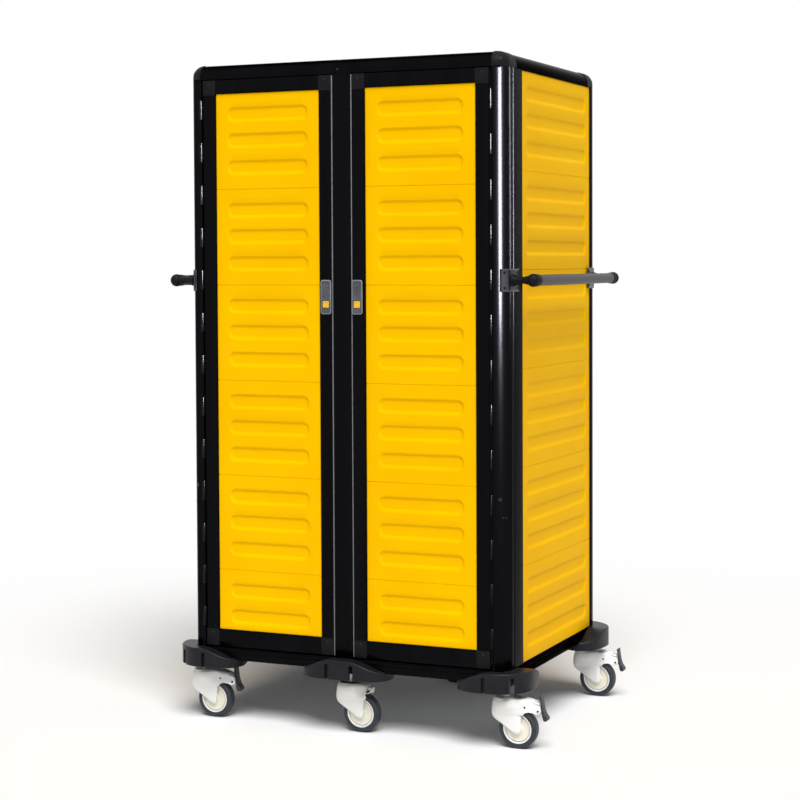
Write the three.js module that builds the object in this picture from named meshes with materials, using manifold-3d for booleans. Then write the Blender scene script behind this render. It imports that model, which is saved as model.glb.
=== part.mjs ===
// Enclosed meal tray cart with two doors, twelve tray levels a side and six swivel casters.
// Millimetres, +Z up. The origin is on the floor under the cabinet's centre, the doors face -Y.
import * as THREE from 'three';
import { mergeGeometries, mergeVertices } from 'three/addons/utils/BufferGeometryUtils.js';
import Module from 'manifold-3d';

const wasm = await Module();
wasm.setup();

// ---- driving dimensions -------------------------------------------------------------------
const gap = 0.3;                 // left between two pieces that touch
const cabinetWidth = 788;        // over the corner posts
const cabinetDepth = 620;        // front face to rear face
const cornerRadius = 34;         // of the posts, base and roof, seen from above

const baseBottom = 143.5;        // underside of the base frame
const baseHeight = 27.5;
const baseRailWidth = 72;
const floorPanelHeight = 16;
const roofBottom = 1487.5;
const roofHeight = 35.5;
const roofEdgeRadius = 28;
const roofPocketDepth = 18;

const postFaceWidth = 31;        // front face of a post, its round corner included
const postWall = 22.5;           // thickness of a post behind its outer side face
const sideStripLength = 104;     // front face to the start of the yellow side panel
const rearStripLength = 45;      // rear face to the end of the yellow side panel
const centrePostHalfWidth = 22;
const doorStopReach = 11;        // a post's door stop reaches this far past its front face
const doorStopWall = 6.5;
const bottomLip = 10;            // stop behind the door's bottom edge, above the base
const topLip = 12;               // stop behind the door's top edge, below the roof

const panelThickness = 20;       // ribbed wall modules
const sidePanelInset = 3;        // the side panel lies this far inside the post's face
const backPanelInset = 3;
const modulePitch = 220;         // height of one stacked wall module
const ribOffsets = [31, 91, 153];  // top of each rib below the top of its module
const ribHeight = 38.5;
const ribDepth = 4;
const ribSlope = 5;              // a rib's wall leans in by this much
const ribCornerRadius = 14;
const ribMargin = 29;            // between a rib's end and the edge of its panel
const seamWidth = 2;             // groove between two modules
const seamDepth = 1.4;

const doorFreeGap = 3.7;         // between the centre post and a door's free edge
const hingeRoom = 8;             // between a door's hinged edge and its post
const doorBottomGap = 4;
const doorTopGap = 1.9;
const doorThickness = 32;
const doorStile = 31.1;          // width of the frame at the free edge
const hingeStile = 32.6;
const doorTopRail = 31.2;
const doorBottomRail = 38.6;
const doorPanelInset = 4;
const doorSeatGap = 0.5;         // between the closed door and its stop

const hingeAxisProud = 1;        // the hinge axis lies this far in front of the doors
const knuckleRadius = 3;
const hingePinRadius = 1.5;
const hingeRunningGap = 0.4;
const knucklePitch = 98;
const knuckleLength = 44;        // of the door's leaf, the rest belongs to the post's leaf
const leafThickness = 1.4;
const leafDepth = 24;
const hingeEndMargin = 5;

const latchWidth = 26;
const latchHeight = 77;
const latchBottom = 949;
const latchThickness = 3.2;
const latchCornerRadius = 5.5;
const latchRim = 4;
const latchEdgeGap = 0.1;        // the plate lies this far inside the door's free edge
const latchRecessDepth = 1.6;
const buttonSize = 16;
const buttonCentre = 971;        // height of its middle
const buttonGap = 0.4;
const buttonProud = 2;
const buttonLength = 11;
const buttonTravel = 4;

const trayPitch = 108;
const firstLedgeRise = 15;       // top of the lowest ledge, above the base
const ledgeWidth = 22;
const ledgeThickness = 3;
const ledgeEndRoom = 17.7;       // between a ledge's rear end and the back panel
const partitionHalf = 14;
const linerThickness = 16.5;

const handleHeight = 1025;
const handleStandOff = 52;       // axis of the push bar, from the cabinet's side
const handleEndInset = 30;       // elbow centres, from the cabinet's front and rear faces
const handleTubeRadius = 12;
const handleCollarRadius = 13.2;
const handleCollarLength = 14;
const elbowRadius = 14.5;
const armRadius = 11;
const bracketHeight = 50;
const bracketThickness = 3;
const bracketMargin = 15;        // between the post's inner edge and the plate
const bracketSideLength = 73;    // from the cabinet's front face

const casterSideInset = 15;      // swivel axes of the outer casters, from the cabinet's sides
const casterFaceInset = 34;      // swivel axes, from the cabinet's front and rear faces
const casterTrail = 30;
const wheelRadius = 44;
const tyreWidth = 26;
const tyreShoulder = 4.5;
const hubRadius = 33.5;
const hubWidth = 24;
const hubDish = 3;
const hubBossWall = 8;
const tyreSides = 24;
const axleRadius = 4;
const axleGap = 0.4;
const wheelClearance = 3.4;      // between the tyre and the housing, round the tread
const cheekClearance = 1.2;      // between the tyre's side and a cheek
const cheekThickness = 5;
const housingTop = 112;
const housingBack = 27;          // behind the swivel axis, under the head
const housingBulge = 32;         // furthest back
const housingBulgeHeight = 74;
const cheekBack = 66;            // height at which the cheeks turn forwards to the axle
const cheekCorner = { r: 12, z: 43 };
const cheekToe = { r: 24, z: 35 };
const cheekBottom = { r: 38, z: 27 };
const cheekFront = 10;           // the cheeks end this far in front of the axle
const archHeight = 77;           // underside of the head in front of the cheeks
const archCrown = { r: 50, z: 85 };
const archEnd = { r: 64, z: 86 };
const noseHeel = { r: 74.5, z: 80 };
const noseChin = { r: 81.5, z: 77.5 };
const noseLip = { r: 85.5, z: 82 };
const noseTip = { r: 85.5, z: 88 };
const noseBrow = { r: 84, z: 98 };
const noseTop = { r: 75 };
const plainFront = { r: 48, z0: 78, z1: 102 };   // front of the head without a nose
const plainBrow = { r: 46, z: 108 };
const plainTop = { r: 42 };
const headRadius = 30;
const headHeight = 24;
const neckRadius = 7.5;
const neckTop = 137;
const stemRadius = 6;
const stemSides = 8;
const stemTop = 160;
const bossRadius = 14;
const pedalPivot = { r: 78, z: 87 };   // r is measured from the swivel axis
const pedalPinRadius = 2;
const pedalLugHalf = 5;
const pedalLugReach = 8;         // from the pivot towards the housing
const pedalLugRise = 6;
const pedalHalf = 11;
const pedalPinHalf = 15;

const bumperBottom = 127;
const bumperTop = 171;
const bumperTipTop = 147;
const bumperWingStart = 20;      // the top falls from here to a wing's tip
const bumperWall = 8;
const bumperInnerWall = 4;       // against the base frame
const bumperFront = 64;          // from the caster's axis
const bumperSide = 59;
const bumperCorner = 81;         // radius between the front and the side
const bumperFlat = 46;           // half length of the straight front
const bumperCurl = 6;            // a wing's tip lies this far in front of the caster's axis
const bumperTipReach = 108;      // along the front, from the caster's axis
const bumperSideReach = 105;     // along the side, from the caster's axis
const bumperTipTaper = 14;       // the flange behind a tip is this much shorter
const bumperPlate = 5.6;         // flange under the base frame
const bumperUnderlap = 36;       // the flange passes the caster's axis by this much
const bumperSlotOffset = 30;
const bumperSlotWidth = 9.5;
const bumperSlotTop = 161;
const bumperSlotDepth = 10;
const cornerSlotDepth = 40;      // the wall lies further back at the round corner

// ---- derived places -----------------------------------------------------------------------
const halfWidth = cabinetWidth / 2;
const halfDepth = cabinetDepth / 2;
const frontFace = -halfDepth;
const baseTop = baseBottom + baseHeight;
const postInnerEdge = halfWidth - postFaceWidth;
const doorStopEdge = postInnerEdge - doorStopReach;     // the tray opening ends here
const doorInnerEdge = centrePostHalfWidth + doorFreeGap;
const doorOuterEdge = postInnerEdge - hingeRoom;
const hingeAxisX = postInnerEdge - hingeRoom / 2;
const doorBottom = baseTop + doorBottomGap;
const doorTop = roofBottom - doorTopGap;
const handleReach = halfWidth + handleStandOff;
const handleHalfSpan = halfDepth - handleEndInset;
const casterX = halfWidth - casterSideInset;
const casterY = halfDepth - casterFaceInset;
const roofTop = roofBottom + roofHeight;
const cornerX = halfWidth - cornerRadius;    // centre of the front right corner's circle
const cornerY = frontFace + cornerRadius;
const doorBack = frontFace + doorThickness;
const stopFront = doorBack + doorSeatGap;
const stopBack = stopFront + doorStopWall;
const sidePanelFront = frontFace + sideStripLength;
const sidePanelRear = halfDepth - rearStripLength;
const sidePanelOuter = halfWidth - sidePanelInset;
const sidePanelInner = sidePanelOuter - panelThickness;
const backPanelInner = halfDepth - backPanelInset - panelThickness;
const wallBottom = baseTop + gap;
const wallTop = roofBottom - gap;
const hingeAxisY = frontFace - hingeAxisProud;
const ledgeFront = stopBack + gap;
const ledgeRear = backPanelInner - ledgeEndRoom;
const firstLedge = baseTop + firstLedgeRise;
const trayLevels = Math.floor((wallTop - firstLedge) / trayPitch);   // as many as fit under the roof
const linerInner = sidePanelInner - gap - linerThickness;
const stemBore = (stemRadius + gap) / Math.cos(Math.PI / stemSides);  // its flats clear the stem

// ---- materials ----------------------------------------------------------------------------
const finish = (color, roughness, metalness = 0) => () =>
  new THREE.MeshStandardMaterial({ color, roughness, metalness });
const blackProfile = finish(0x17171a, 0.28, 0.4);
const blackPlastic = finish(0x1b1b1e, 0.42);
const yellowPanel = finish(0xffc400, 0.38);
const bumperPlastic = finish(0x2a2a30, 0.5);
const whitePlastic = finish(0xf3f3ee, 0.35);
const creamPlastic = finish(0xeee9d6, 0.4);
const tyreRubber = finish(0x2f3742, 0.6);
const greyTube = finish(0x66625f, 0.4);
const latchGrey = finish(0x7b7e86, 0.45);
const buttonYellow = finish(0xffc83a, 0.4);
const steel = finish(0xb8babd, 0.3, 0.9);
const linerGrey = finish(0xc9cbcc, 0.45);

// ---- solid helpers ------------------------------------------------------------------------
// shared corners merged, without the triangles that this leaves flat
function positionsOnly(geometry) {
  const bare = geometry.clone();
  for (const name of Object.keys(bare.attributes)) {
    if (name !== 'position') bare.deleteAttribute(name);
  }
  const merged = mergeVertices(bare, 1e-4);
  const index = [];
  for (let i = 0; i < merged.index.count; i += 3) {
    const [a, b, c] = merged.index.array.slice(i, i + 3);
    if (a !== b && b !== c && c !== a) index.push(a, b, c);
  }
  return merged.setIndex(index);
}

function toSolid(geometry) {
  const bare = positionsOnly(geometry);
  return new wasm.Manifold(new wasm.Mesh({
    numProp: 3,
    vertProperties: new Float32Array(bare.attributes.position.array),
    triVerts: new Uint32Array(bare.index.array),
  }));
}

function toGeometry(solid) {
  const mesh = solid.getMesh();
  const geometry = new THREE.BufferGeometry();
  geometry.setAttribute('position', new THREE.BufferAttribute(mesh.vertProperties, 3));
  geometry.setIndex(new THREE.BufferAttribute(mesh.triVerts, 1));
  return geometry;
}

const join = (...geometries) =>
  toGeometry(geometries.map(toSolid).reduce((sum, solid) => sum.add(solid)));

const cut = (body, ...tools) =>
  toGeometry(tools.map(toSolid).reduce((rest, tool) => rest.subtract(tool), toSolid(body)));

// a block given by its lowest and highest corner along each axis
function block(x0, x1, y0, y1, z0, z1) {
  const geometry = new THREE.BoxGeometry(x1 - x0, y1 - y0, z1 - z0);
  return geometry.translate((x0 + x1) / 2, (y0 + y1) / 2, (z0 + z1) / 2);
}

// an outline seen from above, raised from z0 to z1
function standing(shape, z0, z1, curveSegments = 6) {
  const geometry = new THREE.ExtrudeGeometry(shape, {
    depth: z1 - z0, bevelEnabled: false, curveSegments,
  });
  return geometry.translate(0, 0, z0);
}

// an outline seen from the front, X across and Z up, carried from y0 to y1
function acrossY(shape, y0, y1, curveSegments = 6) {
  const geometry = new THREE.ExtrudeGeometry(shape, {
    depth: y1 - y0, bevelEnabled: false, curveSegments,
  });
  return geometry.rotateX(Math.PI / 2).translate(0, y1, 0);
}

function polygon(points) {
  return new THREE.Shape(points.map(([x, y]) => new THREE.Vector2(x, y)));
}

function uprightRod(radius, z0, z1, x, y, segments) {
  const geometry = new THREE.CylinderGeometry(radius, radius, z1 - z0, segments);
  return geometry.rotateX(Math.PI / 2).translate(x, y, (z0 + z1) / 2);
}

function rodAlongY(radius, y0, y1, x, z, segments) {
  const geometry = new THREE.CylinderGeometry(radius, radius, y1 - y0, segments);
  return geometry.translate(x, (y0 + y1) / 2, z);
}

function rodAlongX(radius, x0, x1, y, z, segments) {
  const geometry = new THREE.CylinderGeometry(radius, radius, x1 - x0, segments);
  return geometry.rotateZ(Math.PI / 2).translate((x0 + x1) / 2, y, z);
}

// a copy mirrored in a plane through the origin, with its faces turned to point out again
function mirrored(geometry, axis) {
  const copy = positionsOnly(geometry);
  copy.scale(axis === 'x' ? -1 : 1, axis === 'y' ? -1 : 1, 1);
  const index = copy.index.array;
  for (let i = 0; i < index.length; i += 3) {
    [index[i], index[i + 1]] = [index[i + 1], index[i]];
  }
  return copy;
}

// the corners of a rectangle with round corners, anticlockwise
function roundedRectangle(x0, x1, y0, y1, radius, steps) {
  const points = [];
  const centres = [[x1, y1], [x0, y1], [x0, y0], [x1, y0]];
  centres.forEach(([x, y], quarter) => {
    const cx = x - Math.sign(x - (x0 + x1) / 2) * radius;
    const cy = y - Math.sign(y - (y0 + y1) / 2) * radius;
    for (let step = 0; step <= steps; step++) {
      const angle = (quarter + step / steps) * Math.PI / 2;
      points.push([cx + radius * Math.cos(angle), cy + radius * Math.sin(angle)]);
    }
  });
  return points;
}

const plan = (halfX, halfY, radius, steps = 5) =>
  roundedRectangle(-halfX, halfX, -halfY, halfY, radius, steps);

// a closed solid through convex rings of equally many points, anticlockwise seen from the last end
function loft(rings) {
  const count = rings[0].length;
  const positions = rings.flat(2);
  const index = [];
  for (let ring = 0; ring + 1 < rings.length; ring++) {
    for (let i = 0; i < count; i++) {
      const a = ring * count + i;
      const b = ring * count + (i + 1) % count;
      index.push(a, b, b + count, a, b + count, a + count);
    }
  }
  const last = (rings.length - 1) * count;
  for (let i = 1; i + 1 < count; i++) {
    index.push(0, i + 1, i, last, last + i, last + i + 1);
  }
  const geometry = new THREE.BufferGeometry();
  geometry.setAttribute('position', new THREE.Float32BufferAttribute(positions, 3));
  geometry.setIndex(index);
  return geometry;
}

const cart = new THREE.Group();

function addPiece(name, geometry, material, parent = cart) {
  const mesh = new THREE.Mesh(geometry, material());
  mesh.name = name;
  parent.add(mesh);
  return mesh;
}

// ---- ribbed wall modules ------------------------------------------------------------------
// tool for one recessed rib in a face that looks along -Y at y = 0
function ribTool(x0, x1, z1) {
  const z0 = z1 - ribHeight;
  const ring = (inset, y) =>
    roundedRectangle(x0 + inset, x1 - inset, z0 + inset, z1 - inset, ribCornerRadius - inset, 2)
      .map(([x, z]) => [x, y, z]);
  const lift = ribSlope / ribDepth;
  return loft([ring(ribSlope, ribDepth), ring(-lift, -1)]);
}

// a panel of stacked modules whose ribbed face looks along -Y at y = 0
function ribbedPanel(x0, x1, z0, z1) {
  const tools = [];
  for (let top = z1; top > z0; top -= modulePitch) {
    if (top < z1) {
      tools.push(block(x0 - 1, x1 + 1, -1, seamDepth, top - seamWidth / 2, top + seamWidth / 2));
    }
    for (const ribTop of ribOffsets.map(offset => top - offset)) {
      if (ribTop - ribHeight < z0 + ribSlope) continue;
      tools.push(ribTool(x0 + ribMargin, x1 - ribMargin, ribTop));
    }
  }
  return cut(block(x0, x1, 0, panelThickness, z0, z1), mergeGeometries(tools.map(positionsOnly)));
}

// ---- base, roof and posts -----------------------------------------------------------------
const casterPlaces = [
  ['front_left', -casterX, -casterY], ['front_middle', 0, -casterY], ['front_right', casterX, -casterY],
  ['rear_left', -casterX, casterY], ['rear_middle', 0, casterY], ['rear_right', casterX, casterY],
];

// two bars between the posts that the closed doors rest against
const doorLips = (z0, z1) => [1, -1].map(side => {
  const x0 = side * (centrePostHalfWidth + gap);
  const x1 = side * (doorStopEdge - gap);
  return block(Math.min(x0, x1), Math.max(x0, x1), stopFront, stopBack, z0, z1);
});

function baseFrame() {
  const outline = polygon(plan(halfWidth, halfDepth, cornerRadius));
  outline.holes.push(polygon(plan(halfWidth - baseRailWidth, halfDepth - baseRailWidth, 8, 1)));
  const bosses = casterPlaces.map(([, x, y]) =>
    uprightRod(bossRadius, neckTop + gap, baseBottom + 1, x, y, 12));
  const bores = casterPlaces.map(([, x, y]) =>
    uprightRod(stemBore, neckTop - 1, stemTop + gap, x, y, stemSides));
  const lips = doorLips(baseTop - 2, baseTop + bottomLip);
  return cut(join(standing(outline, baseBottom, baseTop), ...bosses, ...lips), ...bores);
}

function floorPanel() {
  const inner = polygon(plan(halfWidth - baseRailWidth - gap, halfDepth - baseRailWidth - gap, 8, 1));
  return standing(inner, baseTop - floorPanelHeight, baseTop);
}

// the roof's outline shrinks along a quarter circle towards its top
function roofCap() {
  const rings = [plan(halfWidth, halfDepth, cornerRadius).map(([x, y]) => [x, y, roofBottom])];
  const steps = 5;
  for (let step = 0; step <= steps; step++) {
    const angle = step / steps * Math.PI / 2;
    const inset = roofEdgeRadius * (1 - Math.cos(angle));
    const z = roofTop - roofEdgeRadius * (1 - Math.sin(angle));
    rings.push(plan(halfWidth - inset, halfDepth - inset, cornerRadius - inset).map(([x, y]) => [x, y, z]));
  }
  const pocketX = sidePanelInner - linerThickness;
  const pocket = block(-pocketX, pocketX, stopBack, backPanelInner, roofBottom - 1,
    roofBottom + roofPocketDepth);
  return join(cut(loft(rings), pocket), ...doorLips(roofBottom - topLip, roofBottom + 2));
}

// the angle at which the front right corner's circle passes x, or its foremost point
const cornerAngle = (x, radius) => -Math.acos(Math.max(0, x - cornerX) / radius);

// section of the front right post: round corner, side strip and the stop behind the door
function frontPost() {
  const start = cornerAngle(postInnerEdge, cornerRadius);
  const shape = new THREE.Shape();
  shape.moveTo(postInnerEdge, cornerY + cornerRadius * Math.sin(start));
  shape.absarc(cornerX, cornerY, cornerRadius, start, 0);
  shape.lineTo(halfWidth, sidePanelFront - gap);
  shape.lineTo(halfWidth - postWall, sidePanelFront - gap);
  shape.lineTo(halfWidth - postWall, stopBack);
  shape.lineTo(doorStopEdge, stopBack);
  shape.lineTo(doorStopEdge, stopFront);
  shape.lineTo(postInnerEdge, stopFront);
  return standing(shape, wallBottom, wallTop, 8);
}

// section of the rear right post: round corner between the side panel and the back panel
function rearPost() {
  const inner = halfWidth - rearStripLength;
  const shape = new THREE.Shape();
  shape.moveTo(halfWidth, sidePanelRear + gap);
  shape.absarc(cornerX, -cornerY, cornerRadius, 0, Math.PI / 2);
  shape.lineTo(inner, halfDepth);
  shape.lineTo(inner, backPanelInner - 1);
  shape.lineTo(sidePanelInner, backPanelInner - 1);
  shape.lineTo(sidePanelInner, sidePanelRear + gap);
  return standing(shape, wallBottom, wallTop, 8);
}

const centrePost = () =>
  block(-centrePostHalfWidth, centrePostHalfWidth, frontFace, stopBack, wallBottom, wallTop);

// ---- walls and tray runners ---------------------------------------------------------------
// the side panel is made looking along -Y, then turned to look along +X
function sidePanel() {
  const face = ribbedPanel(sidePanelFront, sidePanelRear, wallBottom, wallTop);
  return positionsOnly(face).rotateZ(Math.PI / 2).translate(sidePanelOuter, 0, 0);
}

function backPanel() {
  const edge = halfWidth - rearStripLength - gap;
  const face = ribbedPanel(-edge, edge, wallBottom, wallTop);
  return positionsOnly(face).rotateZ(Math.PI).translate(0, halfDepth - backPanelInset, 0);
}

// front view of a wall with a ledge for each tray level: wall from x0 to x1, ledges to tip
function ledgeWall(x0, x1, tip) {
  const points = [[x0, wallBottom], [x1, wallBottom]];
  for (let level = 0; level < trayLevels; level++) {
    const top = firstLedge + level * trayPitch;
    points.push([x1, top - ledgeThickness], [tip, top - ledgeThickness], [tip, top], [x1, top]);
  }
  points.push([x1, wallTop], [x0, wallTop]);
  return acrossY(polygon(points), ledgeFront, ledgeRear);
}

function centrePartition() {
  const right = ledgeWall(-1, partitionHalf, partitionHalf + ledgeWidth);
  return join(right, mirrored(right, 'x'));
}

const runnerLiner = () =>
  mirrored(ledgeWall(-linerInner - linerThickness, -linerInner, -linerInner + ledgeWidth), 'x');

// ---- right door, the left one is its mirror image -------------------------------------------
function doorFrame() {
  const body = block(doorInnerEdge, doorOuterEdge, frontFace, doorBack, doorBottom, doorTop);
  const opening = block(doorInnerEdge + doorStile, doorOuterEdge - hingeStile, frontFace - 1,
    doorBack + 1, doorBottom + doorBottomRail, doorTop - doorTopRail);
  const buttonX = doorInnerEdge + latchWidth / 2;
  const room = buttonSize / 2 + buttonGap;
  const pocketBack = frontFace - latchThickness - buttonProud + buttonLength + buttonTravel + 1;
  const pocket = block(buttonX - room, buttonX + room, frontFace - 1, pocketBack,
    buttonCentre - room, buttonCentre + room);
  return cut(body, opening, pocket);
}

function doorPanel() {
  const x0 = doorInnerEdge + doorStile + gap;
  const x1 = doorOuterEdge - hingeStile - gap;
  const z0 = doorBottom + doorBottomRail + gap;
  const z1 = doorTop - doorTopRail - gap;
  return ribbedPanel(x0, x1, z0, z1).translate(0, frontFace + doorPanelInset, 0);
}

function latchPlate() {
  const x0 = doorInnerEdge + latchEdgeGap;
  const x1 = x0 + latchWidth;
  const z1 = latchBottom + latchHeight;
  const shape = polygon(roundedRectangle(x0, x1, latchBottom, z1, latchCornerRadius, 3));
  const room = buttonSize / 2 + buttonGap;
  const buttonX = doorInnerEdge + latchWidth / 2;
  const front = frontFace - gap - latchThickness;
  const hole = block(buttonX - room, buttonX + room, front - 1, frontFace,
    buttonCentre - room, buttonCentre + room);
  const recess = block(x0 + latchRim, x1 - latchRim, front - 1, front + latchRecessDepth,
    buttonCentre + room + latchRim, z1 - latchRim);
  return cut(acrossY(shape, front, frontFace - gap), hole, recess);
}

function latchButton() {
  const x = doorInnerEdge + latchWidth / 2;
  const front = frontFace - latchThickness - buttonProud;
  const half = buttonSize / 2;
  return block(x - half, x + half, front, front + buttonLength, buttonCentre - half, buttonCentre + half);
}

// heights of the door leaf's knuckles, spread evenly about the middle of the door
function knuckleSpans() {
  const count = Math.floor((hingeTop - hingeBottom) / knucklePitch);
  const start = (hingeBottom + hingeTop - (count - 1) * knucklePitch - knuckleLength) / 2;
  return Array.from({ length: count }, (_, i) => start + i * knucklePitch)
    .map(z => [z, z + knuckleLength]);
}

// a knuckle seen from above: round in front, running back into its leaf at x
function knuckle(x, z0, z1) {
  const side = Math.sign(x - hingeAxisX);
  const turn = angle => side > 0 ? Math.PI - angle : angle;
  const shape = new THREE.Shape();
  shape.moveTo(x, hingeAxisY + leafStart + 1);
  shape.lineTo(hingeAxisX, hingeAxisY + knuckleRadius);
  shape.absarc(hingeAxisX, hingeAxisY, knuckleRadius, turn(Math.PI / 4), turn(Math.PI), side < 0);
  return standing(shape, z0, z1, 3);
}

// both leaves start just behind the other leaf's knuckles
const leafStart = knuckleRadius + hingeRunningGap;
const hingeBottom = doorBottom + hingeEndMargin;
const hingeTop = doorTop - hingeEndMargin;

function leafPlate(x0) {
  return block(x0, x0 + leafThickness, hingeAxisY + leafStart, hingeAxisY + leafDepth,
    hingeBottom, hingeTop);
}

// the leaf on the door's edge carries every second knuckle
function hingeDoorLeaf() {
  const x0 = doorOuterEdge + gap;
  const knuckles = knuckleSpans().map(([z0, z1]) => knuckle(x0, z0, z1));
  const bore = uprightRod(hingePinRadius + hingeRunningGap, hingeBottom, hingeTop,
    hingeAxisX, hingeAxisY, 6);
  return cut(join(leafPlate(x0), ...knuckles), bore);
}

// the leaf on the post's edge carries the pin and the knuckles in between
function hingePostLeaf() {
  const x1 = postInnerEdge - gap;
  const ends = [hingeBottom - hingeRunningGap, ...knuckleSpans().flat(), hingeTop + hingeRunningGap];
  const knuckles = [];
  for (let i = 0; i < ends.length; i += 2) {
    knuckles.push(knuckle(x1, ends[i] + hingeRunningGap, ends[i + 1] - hingeRunningGap));
  }
  const pin = uprightRod(hingePinRadius, hingeBottom, hingeTop, hingeAxisX, hingeAxisY, 6);
  return join(leafPlate(x1 - leafThickness), ...knuckles, pin);
}

// ---- push handles -------------------------------------------------------------------------
// front right bracket: a plate wrapped round the post, an arm and a ball elbow
function handleBracket() {
  const z0 = handleHeight - bracketHeight / 2;
  const z1 = handleHeight + bracketHeight / 2;
  const inner = cornerRadius + gap;
  const outer = inner + bracketThickness;
  const start = cornerAngle(postInnerEdge + bracketMargin, inner);
  const y1 = frontFace + bracketSideLength;
  const shape = new THREE.Shape();
  shape.absarc(cornerX, cornerY, outer, start, 0);
  shape.lineTo(cornerX + outer, y1);
  shape.lineTo(cornerX + inner, y1);
  shape.absarc(cornerX, cornerY, inner, 0, start, true);
  const wrap = standing(shape, z0, z1, 6);
  const arm = rodAlongX(armRadius, cornerX + inner, handleReach, -handleHalfSpan, handleHeight, 12);
  const elbow = new THREE.SphereGeometry(elbowRadius, 12, 8);
  elbow.translate(handleReach, -handleHalfSpan, handleHeight);
  const trim = rodAlongY(elbowRadius + 1, elbowSeat(), 0, handleReach, handleHeight, 12);
  return cut(join(wrap, arm, elbow), trim);
}

// the elbow is cut flat where the bar's collar meets it
const elbowSeat = () => -handleHalfSpan + elbowRadius * 0.7;

function handleBar() {
  const end = -elbowSeat() - gap;
  const tube = rodAlongY(handleTubeRadius, -end, end, handleReach, handleHeight, 16);
  const collars = [[-end, handleCollarLength - end], [end - handleCollarLength, end]].map(([y0, y1]) =>
    rodAlongY(handleCollarRadius, y0, y1, handleReach, handleHeight, 16));
  return join(tube, ...collars);
}

// ---- casters, each modelled on its own swivel axis ------------------------------------------
// side view of the housing: X is the distance from the swivel axis, Y the height
function housingOutline(hasNose) {
  const front = casterTrail + cheekFront;
  const shape = new THREE.Shape();
  shape.moveTo(-housingBack, housingTop - 3);
  shape.bezierCurveTo(-housingBulge, housingTop - 18, -housingBulge - 1, housingBulgeHeight,
    -housingBack, cheekBack);
  shape.lineTo(cheekCorner.r, cheekCorner.z);
  shape.bezierCurveTo(cheekToe.r, cheekToe.z, cheekBottom.r, cheekBottom.z, front, wheelRadius - 2);
  shape.lineTo(front, archHeight);
  if (hasNose) {
    shape.bezierCurveTo(archCrown.r, archCrown.z, archEnd.r, archEnd.z, noseHeel.r, noseHeel.z);
    shape.bezierCurveTo(noseChin.r, noseChin.z, noseLip.r, noseLip.z, noseTip.r, noseTip.z);
    shape.bezierCurveTo(noseBrow.r, noseBrow.z, noseTop.r, housingTop, front, housingTop);
  } else {
    shape.lineTo(plainFront.r, plainFront.z0);
    shape.lineTo(plainFront.r, plainFront.z1);
    shape.bezierCurveTo(plainBrow.r, plainBrow.z, plainTop.r, housingTop, plainTop.r - 8, housingTop);
  }
  shape.lineTo(-housingBack + 3, housingTop);
  return shape;
}

function casterHousing(hasNose) {
  const halfSlot = tyreWidth / 2 + cheekClearance;
  const half = halfSlot + cheekThickness;
  const slotRadius = wheelRadius + wheelClearance;
  const body = acrossY(housingOutline(hasNose), -half, half, 4);
  const head = uprightRod(headRadius, housingTop - headHeight, housingTop, 0, 0, 16);
  const neck = uprightRod(neckRadius, housingTop - 1, neckTop, 0, 0, 16);
  const stem = uprightRod(stemRadius, neckTop - 1, stemTop, 0, 0, stemSides);
  const wheelRoom = join(
    rodAlongY(slotRadius, -halfSlot, halfSlot, casterTrail, wheelRadius, 20),
    block(casterTrail - slotRadius, casterTrail + slotRadius, -halfSlot, halfSlot, 0, wheelRadius));
  const axle = rodAlongY(axleRadius, -half, half, casterTrail, wheelRadius, 8);
  const shell = cut(join(body, head, neck, stem), wheelRoom);
  if (!hasNose) return join(shell, axle);
  const { r, z } = pedalPivot;
  const turning = Math.hypot(pedalLugReach, pedalLugRise) + gap;
  const lugRoom = block(r - turning, r + 20, -pedalLugHalf - gap, pedalLugHalf + gap,
    z - turning - 2, housingTop + 1);
  const pinHole = rodAlongY(pedalPinRadius + gap, -half - 1, half + 1, r, z, 8);
  return join(cut(shell, lugRoom, pinHole), axle);
}

// a curved foot plate in front of the nose, on a lug that turns between the nose's two prongs
function brakePedal() {
  const { r, z } = pedalPivot;
  const plate = new THREE.Shape();
  plate.moveTo(r + 6, z + 33);
  plate.quadraticCurveTo(r + 9, z + 4, r + 20.4, z - 17);
  plate.lineTo(r + 15.5, z - 22);
  plate.quadraticCurveTo(r + 7.5, z - 2, r + 3, z + 33.5);
  const lug = polygon([
    [r - pedalLugReach, z - pedalLugRise], [r + 10.5, z - 7], [r + 10, z + 9],
    [r - pedalLugReach, z + pedalLugRise],
  ]);
  return join(
    acrossY(plate, -pedalHalf, pedalHalf, 4),
    acrossY(lug, -pedalLugHalf, pedalLugHalf),
    rodAlongY(pedalPinRadius, -pedalPinHalf, pedalPinHalf, r, z, 8));
}

// a body turned about the wheel's axle from a section of [radius, place along the axle]
function turnedOnAxle(section, segments) {
  const profile = section.map(([radius, along]) => new THREE.Vector2(radius, along));
  const turned = new THREE.LatheGeometry(profile, segments, Math.PI / segments);
  return turned.translate(casterTrail, 0, wheelRadius);
}

function wheelHub() {
  const bore = axleRadius + axleGap;
  const half = hubWidth / 2;
  const boss = bore + hubBossWall;
  const rim = hubRadius - gap;
  return turnedOnAxle([
    [bore, -half], [boss, -half], [boss, hubDish - half], [rim, hubDish - half],
    [rim, half - hubDish], [boss, half - hubDish], [boss, half], [bore, half], [bore, -half],
  ], 16);
}

// the tread's flats, not its edges, lie at the wheel's radius, and one flat is at the bottom
function wheelTyre() {
  const half = tyreWidth / 2;
  const tread = wheelRadius / Math.cos(Math.PI / tyreSides);
  return turnedOnAxle([
    [hubRadius, -half], [tread - tyreShoulder, -half], [tread, tyreShoulder - half],
    [tread, half - tyreShoulder], [tread - tyreShoulder, half], [hubRadius, half],
    [hubRadius, -half],
  ], tyreSides);
}

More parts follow.
